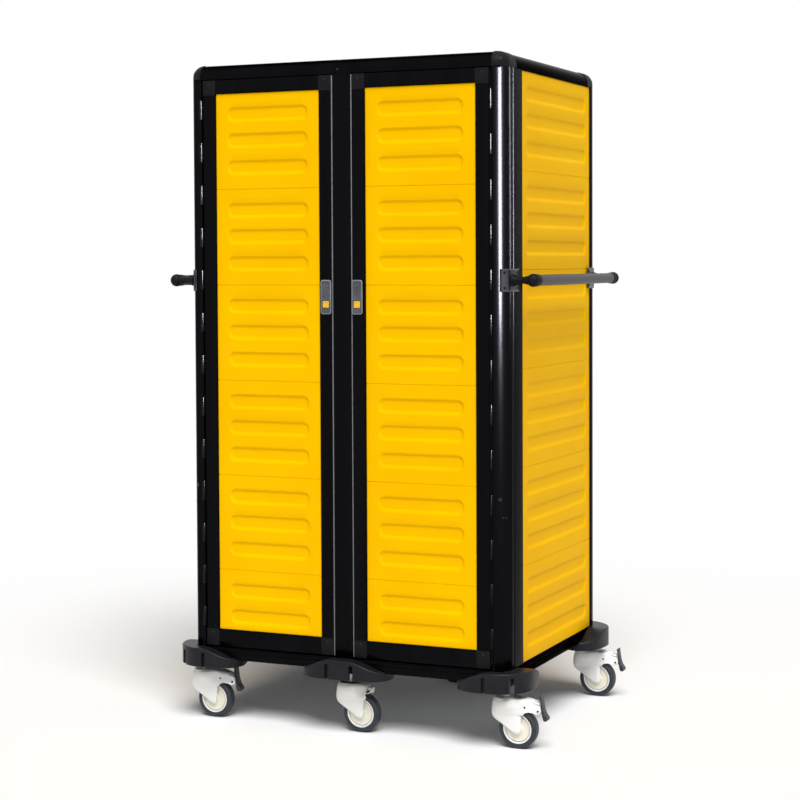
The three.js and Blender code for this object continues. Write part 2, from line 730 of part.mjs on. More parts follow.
// ---- bumpers round the caster mounts ------------------------------------------------------
// the wall runs round the caster's axis; inset moves the outline inwards
function middleBumperOutline(inset) {
  const front = bumperFront - inset;
  const tip = bumperTipReach - inset;
  const back = bumperUnderlap - inset;
  const shape = new THREE.Shape();
  shape.moveTo(-tip, -bumperCurl);
  shape.bezierCurveTo(-tip, -front + 20, -tip + 24, -front, -bumperFlat, -front);
  shape.lineTo(bumperFlat, -front);
  shape.bezierCurveTo(tip - 24, -front, tip, -front + 20, tip, -bumperCurl);
  shape.lineTo(tip - bumperTipTaper, back);
  shape.lineTo(-tip + bumperTipTaper, back);
  return shape;
}

function cornerBumperOutline(inset) {
  const front = bumperFront - inset;
  const side = bumperSide - inset;
  const tip = bumperTipReach - inset;
  const end = bumperSideReach - inset;
  const back = bumperUnderlap - inset;
  const corner = bumperCorner - inset;
  const shape = new THREE.Shape();
  shape.moveTo(-tip, -bumperCurl);
  shape.bezierCurveTo(-tip, -front + 20, -tip + 24, -front, -bumperFlat, -front);
  shape.absarc(side - corner, corner - front, corner, -Math.PI / 2, 0);
  shape.bezierCurveTo(side, end - 24, side - 20, end, 0, end);
  shape.lineTo(-back, end - bumperTipTaper);
  shape.lineTo(-back, back);
  shape.lineTo(-tip + bumperTipTaper, back);
  return shape;
}

// what lies above a wing: the bumper's height falls from its block to the tip in an S
function wingTool(start, tip, angle, drop) {
  const shape = new THREE.Shape();
  const middle = (start + tip) / 2;
  shape.moveTo(start, roofTop);
  shape.lineTo(start, bumperTop);
  shape.bezierCurveTo(middle, bumperTop, middle, bumperTipTop + 2, tip, bumperTipTop);
  shape.lineTo(tip + bumperWall, bumperTipTop);
  shape.lineTo(tip + bumperWall, roofTop);
  const reach = 2 * bumperTipReach;
  return acrossY(shape, -reach, reach, 4).rotateZ(angle).translate(0, 0, -drop);
}

const middleWings = drop =>
  [0, Math.PI].map(angle => wingTool(bumperWingStart, bumperTipReach, angle, drop));

const cornerWings = drop => [
  wingTool(bumperWingStart, bumperTipReach, Math.PI, drop),
  wingTool(bumperWingStart, bumperSideReach, Math.PI / 2, drop),
];

// a front bumper round the caster's axis: an open box with slots, hung on the base frame
function bumper(outline, wings, slotDepths, axisX, axisY) {
  const at = geometry => geometry.translate(axisX, axisY, 0);
  const baseRoom = grown => polygon(plan(halfWidth + grown, halfDepth + grown, cornerRadius + grown));
  const underside = baseBottom - gap;
  const outer = at(standing(outline(0), bumperBottom, bumperTop, 3));
  const lowRoom = at(standing(outline(bumperWall), bumperBottom - 1, underside - bumperPlate, 3));
  const highRoom = cut(
    at(standing(outline(bumperWall), underside - bumperPlate - 1, bumperTop - bumperWall, 3)),
    standing(baseRoom(gap + bumperInnerWall), 0, roofTop), ...wings(bumperWall).map(at));
  const slots = slotDepths.map((depth, i) => {
    const x = (2 * i - 1) * bumperSlotOffset;
    return at(block(x - bumperSlotWidth / 2, x + bumperSlotWidth / 2, -bumperFront - 1,
      depth - bumperFront, bumperBottom - 1, bumperSlotTop));
  });
  const bossRoom = uprightRod(bossRadius + 2, bumperBottom - 1, underside + 1, axisX, axisY, 12);
  return cut(outer, standing(baseRoom(gap), underside, roofTop), lowRoom, highRoom, bossRoom,
    ...wings(0).map(at), ...slots);
}

// ---- assembly -----------------------------------------------------------------------------
addPiece('base_frame', baseFrame(), blackProfile);
addPiece('floor_panel', floorPanel(), linerGrey);
addPiece('roof_cap', roofCap(), blackProfile);
addPiece('centre_post', centrePost(), blackProfile);
addPiece('centre_partition', centrePartition(), linerGrey);
addPiece('back_panel', backPanel(), yellowPanel);

// pieces drawn for the right side, and mirrored for the left
const sidePieces = [
  ['front_post', frontPost(), blackProfile],
  ['rear_post', rearPost(), blackProfile],
  ['side_panel', sidePanel(), yellowPanel],
  ['runner_liner', runnerLiner(), linerGrey],
  ['handle_bar', handleBar(), greyTube],
  ['front_handle_bracket', handleBracket(), blackPlastic],
  ['rear_handle_bracket', mirrored(handleBracket(), 'y'), blackPlastic],
  ['door_frame', doorFrame(), blackProfile],
  ['door_panel', doorPanel(), yellowPanel],
  ['latch_plate', latchPlate(), latchGrey],
  ['latch_button', latchButton(), buttonYellow],
  ['hinge_door_leaf', hingeDoorLeaf(), steel],
  ['hinge_post_leaf', hingePostLeaf(), blackProfile],
];
for (const [name, geometry, material] of sidePieces) {
  addPiece(`right_${name}`, geometry, material);
  addPiece(`left_${name}`, mirrored(geometry, 'x'), material);
}

const cornerBumper = bumper(cornerBumperOutline, cornerWings, [bumperSlotDepth, cornerSlotDepth],
  casterX, -casterY);
const middleBumper = bumper(middleBumperOutline, middleWings, [bumperSlotDepth, bumperSlotDepth],
  0, -casterY);
for (const [place, x, y] of casterPlaces) {
  let geometry = x ? cornerBumper : middleBumper;
  if (x < 0) geometry = mirrored(geometry, 'x');
  if (y > 0) geometry = mirrored(geometry, 'y');
  addPiece(`${place}_bumper`, geometry, bumperPlastic);

  const caster = new THREE.Group();
  caster.position.set(x, y, 0);
  cart.add(caster);
  addPiece(`${place}_caster_housing`, casterHousing(x !== 0), whitePlastic, caster);
  addPiece(`${place}_wheel_hub`, wheelHub(), creamPlastic, caster);
  addPiece(`${place}_wheel_tyre`, wheelTyre(), tyreRubber, caster);
  if (x) addPiece(`${place}_brake_pedal`, brakePedal(), blackPlastic, caster);
}

export default cart;
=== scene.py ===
import bmesh
import bpy
import numpy as np
from mathutils import Matrix, Vector


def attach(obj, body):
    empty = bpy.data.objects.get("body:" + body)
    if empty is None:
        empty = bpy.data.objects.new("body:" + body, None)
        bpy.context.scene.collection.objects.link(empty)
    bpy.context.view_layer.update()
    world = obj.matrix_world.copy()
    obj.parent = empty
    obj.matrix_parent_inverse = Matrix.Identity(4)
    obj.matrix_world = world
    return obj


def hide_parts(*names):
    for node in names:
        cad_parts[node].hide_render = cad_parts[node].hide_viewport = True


# Enclosed meal tray cart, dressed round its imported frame. All sizes are in millimetres until a mesh is made.
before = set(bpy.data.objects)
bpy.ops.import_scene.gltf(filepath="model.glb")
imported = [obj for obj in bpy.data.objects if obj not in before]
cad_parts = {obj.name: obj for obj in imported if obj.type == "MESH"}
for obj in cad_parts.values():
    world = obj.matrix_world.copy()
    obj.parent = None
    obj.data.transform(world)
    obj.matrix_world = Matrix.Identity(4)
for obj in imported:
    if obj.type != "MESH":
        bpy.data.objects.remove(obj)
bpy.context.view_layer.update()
scene = bpy.context.scene
mm = 0.001

cabinet = {"halfX": 394, "halfY": 310, "corner": 34, "baseBottom": 143.5, "baseTop": 171,
           "wallBottom": 171.3, "wallTop": 1487.2, "roofBottom": 1487.5, "roofTop": 1523}
casterPlaces = {"front_left": (-379, -276), "front_middle": (0, -276), "front_right": (379, -276),
                "rear_left": (-379, 276), "rear_middle": (0, 276), "rear_right": (379, 276)}


# an sRGB hex colour as linear light: c / 12.92 below 0.04045, else ((c + 0.055) / 1.055) to the power 2.4
def linear(hexColour):
    c = np.array([int(hexColour[i:i + 2], 16) for i in (1, 3, 5)]) / 255
    return (*np.where(c <= 0.04045, c / 12.92, ((c + 0.055) / 1.055) ** 2.4).tolist(), 1.0)


# adds one node: settings go to the socket or the property of that name, links join other nodes' outputs to it
def addNode(tree, kind, settings=None, links=None):
    node = tree.nodes.new(kind)
    for name, value in (settings or {}).items():
        if isinstance(name, int) or name in node.inputs.keys():
            node.inputs[name].default_value = value
        else:
            setattr(node, name, value)
    for name, socket in (links or {}).items():
        tree.links.new(socket, node.inputs[name])
    return node


# a solid finish: two colours drift into each other over patches, fine grain moves the roughness, and a bump
# of a given size and depth stands for the surface that the process leaves. Sizes are in mm, and a stretch
# below 1 draws the pattern out along Z
def makeFinish(name, colours, patch, grain, rough, bump, specular=0.5, metal=0.0, tint=1.0, stretch=1):
    material = bpy.data.materials.new(name)
    material.use_nodes = True
    tree = material.node_tree
    shader = tree.nodes["Principled BSDF"]
    for socket, value in (("Metallic", metal), ("Specular IOR Level", specular),
                          ("Specular Tint", (tint,) * 3 + (1,))):
        shader.inputs[socket].default_value = value
    place = addNode(tree, "ShaderNodeTexCoord").outputs["Object"]
    along = addNode(tree, "ShaderNodeMapping", {"Scale": (1, 1, stretch)}, {"Vector": place}).outputs[0]
    patches, grains, relief = (
        addNode(tree, "ShaderNodeTexNoise", {"Scale": 1000 / size, "Detail": detail}, {"Vector": along})
        .outputs[0] for size, detail in ((patch, 3.0), (grain, 4.0), (bump[0], 2.0)))
    drift = addNode(tree, "ShaderNodeValToRGB", links={"Fac": patches})
    for stop, spot, colour in zip(drift.color_ramp.elements, (0.35, 0.65), colours):
        stop.position, stop.color = spot, linear(colour)
    gloss = addNode(tree, "ShaderNodeMapRange", {"To Min": rough[0], "To Max": rough[1]}, {"Value": grains})
    skin = addNode(tree, "ShaderNodeBump", {"Strength": 1.0, "Distance": bump[1] * mm}, {"Height": relief})
    for socket, node in (("Base Color", drift), ("Roughness", gloss), ("Normal", skin)):
        tree.links.new(node.outputs[0], shader.inputs[socket])
    return material


# vacuum formed ABS: an even warm yellow with a soft gloss and the faint orange peel of the sheet
yellowAbs = makeFinish("vacuum formed yellow ABS", ("#FFC000", "#FFC500"), patch=160, grain=6,
                       rough=(0.36, 0.46), bump=(3.5, 0.02), specular=0.015)
# black anodised aluminium extrusion: near black, glossy, with faint drawing lines along its length
blackAnodised = makeFinish("black anodised aluminium profile", ("#101012", "#131316"), patch=40, grain=1.5,
                           rough=(0.18, 0.26), bump=(4, 0.015), metal=1.0, tint=0.5, stretch=0.02)
# the same extrusion lying down: the lines run along the rail, so the grain is left even
blackRail = makeFinish("black anodised aluminium rail", ("#0F0F11", "#121214"), patch=60, grain=2,
                       rough=(0.22, 0.32), bump=(6, 0.01), metal=1.0, tint=0.42)
# glass filled nylon from a spark eroded mould: dark grey, dull, with a grain drawn coarse enough to show
charcoalNylon = makeFinish("spark eroded charcoal nylon", ("#0C0C0E", "#141417"), patch=3, grain=1.2,
                           rough=(0.48, 0.66), bump=(1.6, 0.12), specular=0.12)
# the foot pedals: the same nylon in a slate grey, smoother
slateNylon = makeFinish("moulded slate nylon", ("#20232A", "#292C34"), patch=12, grain=1.5,
                        rough=(0.36, 0.48), bump=(2, 0.03), specular=0.4)
# the bracket plates, a smoother nylon that mirrors the light softly; its paler colour is a painted sheen
sheenPaintedNylon = makeFinish("moulded satin nylon paled for painted sheen", ("#333439", "#3E3F45"), patch=8, grain=1.5, rough=(0.3, 0.4),
                        bump=(1.5, 0.02), specular=0.6)
# moulded thermoplastic elastomer: charcoal with a bluish cast and a satin skin
bumperElastomer = makeFinish("moulded charcoal elastomer", ("#121217", "#18181E"), patch=30, grain=2,
                             rough=(0.34, 0.46), bump=(2.2, 0.04), specular=0.2)
# injection moulded polyamide, cool white and slightly glossy
whitePolyamide = makeFinish("moulded white polyamide", ("#F8F8F5", "#FBFBF9"), patch=40, grain=3,
                            rough=(0.28, 0.38), bump=(3, 0.015))
# injection moulded polypropylene wheel disc, warmer than the housing
creamPolypropylene = makeFinish("moulded cream polypropylene", ("#EFEBD8", "#F6F2E2"), patch=25, grain=3,
                                rough=(0.34, 0.46), bump=(3, 0.02))
# non marking thermoplastic rubber: blue grey, dull, a little paler where it has rolled
tyreRubber = makeFinish("non marking grey rubber", ("#1F252D", "#2A313B"), patch=14, grain=1.5,
                        rough=(0.45, 0.62), bump=(1.2, 0.05), specular=0.45)
# steel tube with a fine textured powder coat in warm grey
powderCoat = makeFinish("textured grey powder coat", ("#2E2C2C", "#3A3737"), patch=3, grain=1.5,
                        rough=(0.38, 0.52), bump=(1.6, 0.08), specular=0.3)
# moulded grey ABS of the latches, satin
greyAbs = makeFinish("moulded grey ABS", ("#44464C", "#53565C"), patch=18, grain=1.5, rough=(0.36, 0.46),
                     bump=(1.5, 0.02))
# the latch plate's rim: grey ABS painted pale as a highlight along its rounded edge
rimHighlightAbs = makeFinish("grey ABS paled for a painted rim highlight", ("#85888F", "#93969C"), patch=18, grain=1.5, rough=(0.22, 0.3),
                         bump=(1.5, 0.01))
# the push button, a brighter glossier yellow than the panels
buttonAcetal = makeFinish("moulded yellow acetal", ("#F6BD22", "#FAC42E"), patch=12, grain=2,
                          rough=(0.28, 0.36), bump=(2, 0.01))
# black anodised aluminium of the hinge knuckles: nearly black, with a thin bright line down each
blackHinge = makeFinish("black anodised hinge aluminium", ("#141416", "#1C1C1E"), patch=4, grain=1,
                        rough=(0.2, 0.28), bump=(1, 0.02), metal=1.0)
# blackened screw heads, rivets and pins
blackSteel = makeFinish("blackened steel", ("#2A2A2E", "#3A3A3E"), patch=3, grain=1, rough=(0.3, 0.42),
                        bump=(1, 0.01), metal=1.0)
# soft door gasket, mid grey and dull
gasketRubber = makeFinish("extruded grey gasket", ("#6E6E70", "#7C7C7E"), patch=8, grain=2, rough=(0.5, 0.6),
                          bump=(2, 0.02), specular=0.4)
# food safe liner sheet, pale grey ABS with a fine satin grain
linerAbs = makeFinish("pale grey liner ABS", ("#C4C7C9", "#CDD0D1"), patch=80, grain=2, rough=(0.38, 0.5),
                      bump=(1.8, 0.03))
print("finishes made")


# each corner becomes an arc that touches both its sides: its points are the spherical blend of its two end
# radii
def roundCorners(corners, radii, steps=5):
    corners = np.asarray(corners, float)
    radii = np.broadcast_to(np.asarray(radii, float), len(corners))[:, None]
    back, ahead = np.roll(corners, 1, 0) - corners, np.roll(corners, -1, 0) - corners
    back /= np.linalg.norm(back, axis=1, keepdims=True)
    ahead /= np.linalg.norm(ahead, axis=1, keepdims=True)
    half = np.arccos(np.clip((back * ahead).sum(1, keepdims=True), -1, 1)) / 2
    bisector = (back + ahead) / np.linalg.norm(back + ahead, axis=1, keepdims=True)
    centre = corners + bisector * radii / np.sin(half)
    first = corners + back * radii / np.tan(half) - centre
    last = corners + ahead * radii / np.tan(half) - centre
    turn = np.pi - 2 * half
    t = np.linspace(0, 1, steps + 1)[None]
    blend = (np.sin((1 - t) * turn) / np.sin(turn))[..., None] * first[:, None] \
        + (np.sin(t * turn) / np.sin(turn))[..., None] * last[:, None]
    return (centre[:, None] + blend).reshape(-1, 2)


# a rectangle with round corners, anticlockwise
def plate(x0, x1, z0, z1, radius, steps=5):
    return roundCorners([(x0, z0), (x1, z0), (x1, z1), (x0, z1)], radius, steps)


# every point moves inwards along the mitre of its two sides, so that both sides move by the distance
def insetLoop(loop, distance):
    ahead = np.roll(loop, -1, 0) - loop
    ahead /= np.maximum(np.linalg.norm(ahead, axis=1, keepdims=True), 1e-9)
    inward = np.stack([-ahead[:, 1], ahead[:, 0]], 1)
    before = np.roll(inward, 1, 0)
    return loop + distance * (inward + before) / (1 + (inward * before).sum(1, keepdims=True))


# quads between neighbouring rings of equally many points, with flat ends or joined round to the first ring
def ringFaces(rows, columns, joined=False):
    index = np.arange(rows * columns).reshape(rows, columns)
    if joined:
        index = np.vstack([index, index[:1]])
    a, b = index[:-1], index[1:]
    faces = np.stack([a, np.roll(a, -1, 1), np.roll(b, -1, 1), b], -1).reshape(-1, 4).tolist()
    return faces if joined else faces + [index[0, ::-1].tolist(), index[-1].tolist()]


def stackRings(rings, joined=False):
    rings = np.asarray(rings, float)
    return rings.reshape(-1, 3), ringFaces(*rings.shape[:2], joined)


# the plane that an outline is drawn in: where its first, second and carried coordinates go
planeAxes = {"z": (0, 1, 2), "y": (0, 2, 1), "x": (1, 2, 0)}


def inPlane(loop, height, plane):
    ring = np.empty((len(loop), 3))
    first, second, third = planeAxes[plane]
    ring[:, first], ring[:, second], ring[:, third] = loop[:, 0], loop[:, 1], height
    return ring


# an outline carried from low to high along the plane's normal; at each end it shrinks along a quarter circle
def prism(loop, low, high, edge=0.6, plane="z", steps=3):
    loop = np.asarray(loop, float)
    if np.sum(loop[:, 0] * np.roll(loop[:, 1], -1) - loop[:, 1] * np.roll(loop[:, 0], -1)) < 0:
        loop = loop[::-1]
    turn = np.linspace(0, np.pi / 2, steps + 1)
    shrink, rise = edge * (1 - np.cos(turn)), edge * (1 - np.sin(turn))
    levels = list(zip(shrink[::-1], low + rise[::-1])) + list(zip(shrink, high - rise))
    return stackRings([inPlane(insetLoop(loop, s), h, plane) for s, h in levels])


# a profile of (radius, along) pairs turned about an axis through the centre
def turned(profile, centre, axis="z", steps=40, joined=False):
    profile = np.asarray(profile, float)
    angle = np.linspace(0, 2 * np.pi, steps, endpoint=False)
    ring = np.stack([np.cos(angle), np.sin(angle)], 1)
    first, second, third = planeAxes[axis]
    points = np.empty((len(profile), steps, 3))
    points[..., [first, second]] = profile[:, None, :1] * ring[None]
    points[..., third] = profile[:, 1:2]
    return stackRings(points + np.asarray(centre, float), joined)


# a rod turned about its axis, with both rims rounded
def rod(radius, low, high, centre, axis="z", edge=0.8, steps=24):
    turn = np.linspace(0, np.pi / 2, 4)
    rim = np.stack([radius - edge * (1 - np.cos(turn)), edge * (1 - np.sin(turn))], 1)
    start = np.stack([rim[::-1, 0], low + rim[::-1, 1]], 1)
    end = np.stack([rim[:, 0], high - rim[:, 1]], 1)
    return turned(np.vstack([start, end]), centre, axis, steps)


def mirrorX(shells):
    return [(points * (-1, 1, 1), faces) for points, faces in shells]


def mirrorY(shells):
    return [(points * (1, -1, 1), faces) for points, faces in shells]


def shifted(shells, x=0, y=0, z=0):
    return [(points + (x, y, z), faces) for points, faces in shells]


# what has a twin is drawn for the right side, and its mirror makes the left one
sides = {"right": lambda shells: shells, "left": mirrorX}


# one mesh from several closed shells: doubles merged, faces turned outwards
def makeMesh(name, shells, finish):
    points = np.vstack([p for p, _ in shells]) * mm
    faces, start = [], 0
    for p, f in shells:
        faces += [[i + start for i in face] for face in f]
        start += len(p)
    mesh = bpy.data.meshes.new(name)
    mesh.from_pydata(points.tolist(), [], faces)
    work = bmesh.new()
    work.from_mesh(mesh)
    bmesh.ops.remove_doubles(work, verts=work.verts, dist=2e-6)
    bmesh.ops.dissolve_degenerate(work, edges=work.edges, dist=1e-7)
    bmesh.ops.recalc_face_normals(work, faces=work.faces)
    work.to_mesh(mesh)
    work.free()
    mesh.materials.append(finish)
    piece = bpy.data.objects.new(name, mesh)
    scene.collection.objects.link(piece)
    return piece


# smooth shading, with the edges over an angle left sharp
def smoothSides(piece, angle=32):
    piece.data.shade_smooth()
    piece.data.set_sharp_from_angle(angle=np.radians(angle))


# a finished piece on its body: first shells are joined to it, then others are cut out of it
def addPiece(name, shells, finish, body, nodes=(), cuts=(), angle=32, joins=()):
    piece = makeMesh(name, shells, finish)
    if joins:
        carve(piece, joins, "UNION")
    if cuts:
        carve(piece, cuts)
    smoothSides(piece, angle)
    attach(piece, body)
    if nodes:
        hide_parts(*nodes)


# the same piece on both sides, whose names, nodes and bodies other than the cart start with the side's name
def addPair(name, shells, finish, node="", body="", cuts=(), angle=32):
    for side, turn in sides.items():
        addPiece(f"{side}_{name}", turn(shells), finish, f"{side}_{body}" if body else "cart",
                 [f"{side}_{node}"] if node else [], turn(cuts), angle)


# cuts shells out of a piece, or adds them to it, with the result applied
def carve(piece, cuts, operation="DIFFERENCE"):
    cutter = makeMesh("cutter", cuts, piece.data.materials[0])
    step = piece.modifiers.new("cut", "BOOLEAN")
    step.operation, step.object, step.solver = operation, cutter, "EXACT"
    step.use_self = True
    result = bpy.data.meshes.new_from_object(piece.evaluated_get(bpy.context.evaluated_depsgraph_get()))
    piece.modifiers.clear()
    old, piece.data = piece.data, result
    bpy.data.meshes.remove(old)
    cutterMesh = cutter.data
    bpy.data.objects.remove(cutter)
    bpy.data.meshes.remove(cutterMesh)


# a screw head: a shallow dome with a cross recess, as height over a polar grid. The height is a parabola of
# the radius, less the recess where the point lies within its two arms
def screwHead(centre, outward, radius=3.2, height=1.4, cross=True):
    rings, spokes = 14, 48
    r = np.linspace(0, 1, rings)[:, None] * radius
    a = np.linspace(0, 2 * np.pi, spokes, endpoint=False)[None]
    u, v = r * np.cos(a), r * np.sin(a)
    h = height * (1 - 0.55 * (r / radius) ** 2) + 0 * a
    if cross:
        u1, v1 = np.abs(u), np.abs(v)
        h = h - 0.5 * height * ((np.minimum(u1, v1) < 0.13 * radius) & (np.maximum(u1, v1) < 0.6 * radius))
    outward = np.asarray(outward, float) / np.linalg.norm(outward)
    side = np.cross(outward, (0, 0, 1) if abs(outward[2]) < 0.9 else (1, 0, 0))
    side /= np.linalg.norm(side)
    up = np.cross(outward, side)
    front = np.asarray(centre) + u[..., None] * side + v[..., None] * up + h[..., None] * outward
    foot = front[-1] - (h[-1][:, None] + 0.4) * outward
    return stackRings(np.concatenate([front, foot[None]]))


# the outline of the cabinet, as points of an inner rectangle and the directions that lead outwards from them
halfX, halfY, reach = cabinet["halfX"], cabinet["halfY"], cabinet["corner"]
innerX, innerY = halfX - reach, halfY - reach


# stations on the front face at the given X, round the front right corner, and on the side face at the given Y
def cornerStations(frontXs, arcSteps, sideYs):
    angle = np.linspace(0, np.pi / 2, arcSteps + 1)
    base = np.vstack([
        np.stack([frontXs, np.full(len(frontXs), -innerY)], 1),
        np.tile([innerX, -innerY], (arcSteps + 1, 1)),
        np.stack([np.full(len(sideYs), innerX), sideYs], 1)])
    out = np.vstack([
        np.tile([0, -1], (len(frontXs), 1)), np.stack([np.sin(angle), -np.cos(angle)], 1),
        np.tile([1, 0], (len(sideYs), 1))])
    return base, out


# the whole outline, anticlockwise from the middle of the front, from four mirrored corners
def fullStations(frontXs, arcSteps, sideYs):
    base, out = cornerStations(np.asarray(frontXs, float), arcSteps, np.asarray(sideYs, float))
    turns = [(1, 1, False), (1, -1, True), (-1, -1, False), (-1, 1, True)]
    bases = [(base * (sx, sy))[::-1] if flip else base * (sx, sy) for sx, sy, flip in turns]
    outs = [(out * (sx, sy))[::-1] if flip else out * (sx, sy) for sx, sy, flip in turns]
    return np.vstack(bases), np.vstack(outs)


# rings of the outline at each (inset, height) of a profile, pushed in further by a groove at each station
def outlineRings(stations, profile, groove=None):
    base, out = stations
    rings = []
    for inset, height in profile:
        shrink = inset + (0 if groove is None else groove * (inset < reach - 8))
        ring = np.empty((len(base), 3))
        ring[:, :2] = base + out * (reach - np.reshape(shrink, (-1, 1)))
        ring[:, 2] = height
        rings.append(ring)
    return rings


# a closed section carried along stations of the outline
def carried(stations, section):
    return stackRings(np.array(outlineRings(stations, section)).transpose(1, 0, 2))


def quarter(centre, radius, start, end, steps=6):
    angle = np.radians(np.linspace(start, end, steps + 1))
    return np.stack([centre[0] + radius * np.cos(angle), centre[1] + radius * np.sin(angle)], 1)


# base frame: a rail with a bead and a groove under its top, carried round the outline
rail = {"width": 72, "innerCorner": 4, "ledge": 3, "step": 2.8, "bead": 7, "groove": 1.3, "grooveHeight": 1.6}
b0, b1 = cabinet["baseBottom"], cabinet["baseTop"]
width, ledge, groove = rail["width"], rail["ledge"], rail["groove"]
beadTop = b1 - rail["step"]
beadFoot = beadTop - rail["bead"]
grooveFoot = beadFoot - rail["grooveHeight"]
railLoop = roundCorners(
    [(0, b0), (width, b0), (width, b1), (ledge, b1), (ledge, beadTop), (0, beadTop), (0, beadFoot),
     (groove, beadFoot), (groove, grooveFoot), (0, grooveFoot)],
    [2.4, 1, 1, 1, 0.8, 1.8, 1.2, 0.3, 0.3, 1.0], 4)


def baseRing(inset, height):
    x, y = halfX - inset, halfY - inset
    return inPlane(plate(-x, x, -y, y, max(reach - inset, rail["innerCorner"]), 12), height, "z")


baseShell = stackRings([baseRing(s, h) for s, h in railLoop], joined=True)
# the doors close against a lip on the base and one under the roof
lipLoop = plate(22.3, 351.7, -277.5, -271, 0.6, 2)
lips = [prism(lipLoop, b1 - 1, b1 + 10)]
addPiece("base_frame_rails", [baseShell] + lips + mirrorX(lips), blackRail, "cart",
         ["base_frame"])
addPiece("floor_sheet", [prism(plate(-321.7, 321.7, -237.7, 237.7, 6), 155, 170.8, 0.8)], linerAbs,
         "cart", ["floor_panel"])
print("base made")

# roof: the outline closes over along a quarter circle, with the header's joint as a fine groove
roof = {"edge": 28, "skin": 0.7, "seamX": -15.5, "seamStep": 0.8, "seamDepth": 1.0}
r0, r1 = cabinet["roofBottom"], cabinet["roofTop"]
edge, skin = roof["edge"], roof["skin"]
roofBase, roofOut = fullStations([0, 359], 16, [-243, 0])
seamXs = roof["seamX"] + roof["seamStep"] * np.arange(-2, 3)
roofBase = np.vstack([roofBase[:-1], np.stack([seamXs, np.full(5, -innerY)], 1)])
roofOut = np.vstack([roofOut[:-1], np.tile([0, -1], (5, 1))])
seam = np.r_[np.zeros(len(roofBase) - 5), roof["seamDepth"] * np.array([0, 1, 1, 1, 0])]
roofProfile = np.vstack([[(skin + 1.0, r0), (skin + 0.3, r0 + 0.3), (skin, r0 + 1)],
                         quarter((edge, r1 - edge - skin), edge - skin, 180, 90, 10)])
roofShell = stackRings(outlineRings((roofBase, roofOut), roofProfile, seam))
pocket = prism(plate(-354, 354, -270.8, 286.8, 4, 3), r0 - 5, r0 + 18, 0.5)
addPiece("roof_shell", [roofShell], blackRail, "cart", ["roof_cap"], [pocket])
lips = [prism(lipLoop, r0 - 12, r0 + 2)]
addPiece("roof_door_lips", lips + mirrorX(lips), blackRail, "cart")

# moulded corner caps over the ends of the header rails: the roof's own profile, a wall thick, from joint to
# joint
cap = {"wall": 2.0, "bottom": 1487.8}
capOuter = np.vstack([[(0.8, cap["bottom"]), (0.2, cap["bottom"] + 0.3), (0, cap["bottom"] + 1)],
                      quarter((edge, r1 - edge), edge, 180, 96, 10)])
capLoop = np.vstack([capOuter, capOuter[::-1] + (cap["wall"], -0.6)])
capStations = cornerStations(np.array([360.4, 361.2]), 16, np.array([-244.6, -243.6]))
capShell = [carried(capStations, capLoop)]
caps = capShell + mirrorX(capShell)
addPiece("roof_corner_caps", caps + mirrorY(caps), charcoalNylon, "cart")
rivets = [screwHead((380, -303.4, 1503), (0.55, -0.84, 0), 2.6, 1.2, False),
          screwHead((-8.5, -309.4, 1497.5), (0, -1, 0), 2.4, 1.0, False)]
rivets += mirrorX(rivets[:1]) + mirrorY(rivets[:1]) + mirrorY(mirrorX(rivets[:1]))
addPiece("roof_rivets", rivets, blackSteel, "cart")
print("roof made")

# posts: extrusions with the round corner, a joint groove and a side strip
w0, w1 = cabinet["wallBottom"], cabinet["wallTop"]
post = {"inner": 363, "jointFront": -265, "jointRear": -261, "jointX": 390.8, "stripX": 393.6,
        "stripEnd": -206.3}
inner, jointX, stripX, stripEnd = post["inner"], post["jointX"], post["stripX"], post["stripEnd"]
frontPostLoop = roundCorners(
    [(inner, -halfY), (halfX, -halfY), (halfX, post["jointFront"]), (jointX, post["jointFront"]),
     (jointX, post["jointRear"]), (stripX, post["jointRear"]), (stripX, stripEnd),
     (371.5, stripEnd), (371.5, -271), (352, -271), (352, -277.5), (inner, -277.5)],
    [1.2, 33.9, 1.0, 0.5, 0.5, 2.2, 1.4, 0.5, 0.5, 0.5, 0.5, 0.5], 14)
rearPostLoop = roundCorners(
    [(halfX, 265.3), (halfX, halfY), (349, halfY), (349, 286), (371, 286), (371, 265.3)],
    [1.4, 34, 1.2, 0.5, 0.5, 0.5], 12)
for end, loop in (("front", frontPostLoop), ("rear", rearPostLoop)):
    shells = [prism(loop, w0, w1, 0.5, "z", 2)]
    addPair(f"{end}_post_profile", shells, blackAnodised, f"{end}_post")
shells = [prism(plate(-22, 22, -halfY, -271, 1.6, 4), w0, w1, 0.5, "z", 2)]
addPiece("centre_post_profile", shells, blackAnodised, "cart", ["centre_post"])
# plugs and screws in the front posts, low down and where the photograph shows them
plugs = [screwHead((377.5, -305.3, 548), (0.5, -0.87, 0), 4.2, 0.8, False),
         screwHead((382.5, -301.4, 508), (0.66, -0.75, 0), 2.2, 0.9, True),
         screwHead((387.5, -295.6, 508), (0.8, -0.6, 0), 2.2, 0.9, True)]
addPiece("front_post_plugs", plugs + mirrorX(plugs), blackSteel, "cart")
print("posts made")

# ribbed wall modules
ribs = {"pitch": 220, "offsets": (31, 91, 153), "height": 38.5, "depth": 3.3, "slope": 5.2, "softer": 15,
        "corner": 15, "margin": 29, "seamHalf": 1.3, "seamDepth": 1.2, "edge": 1.6}


# lines across a panel, close together where the ribs' walls, the seams and the rims are
def gridLines(low, high, walls, seams=()):
    rim = np.array([0, 0.3, 0.8, 1.6])
    lines = [low + rim, high - rim, np.arange(low, high, 24)]
    for start, way in walls:
        lines.append(start + way * np.concatenate([np.linspace(0, 7, 8), np.linspace(9, 17, 5)]))
    for seam in seams:
        lines.append(seam + np.array([-2.4, -1.3, -0.9, -0.4, 0.4, 0.9, 1.3, 2.4]))
    lines = np.unique(np.round(np.concatenate(lines), 3))
    lines = lines[(lines >= low) & (lines <= high)]
    return lines[np.r_[True, np.diff(lines) > 0.12]]


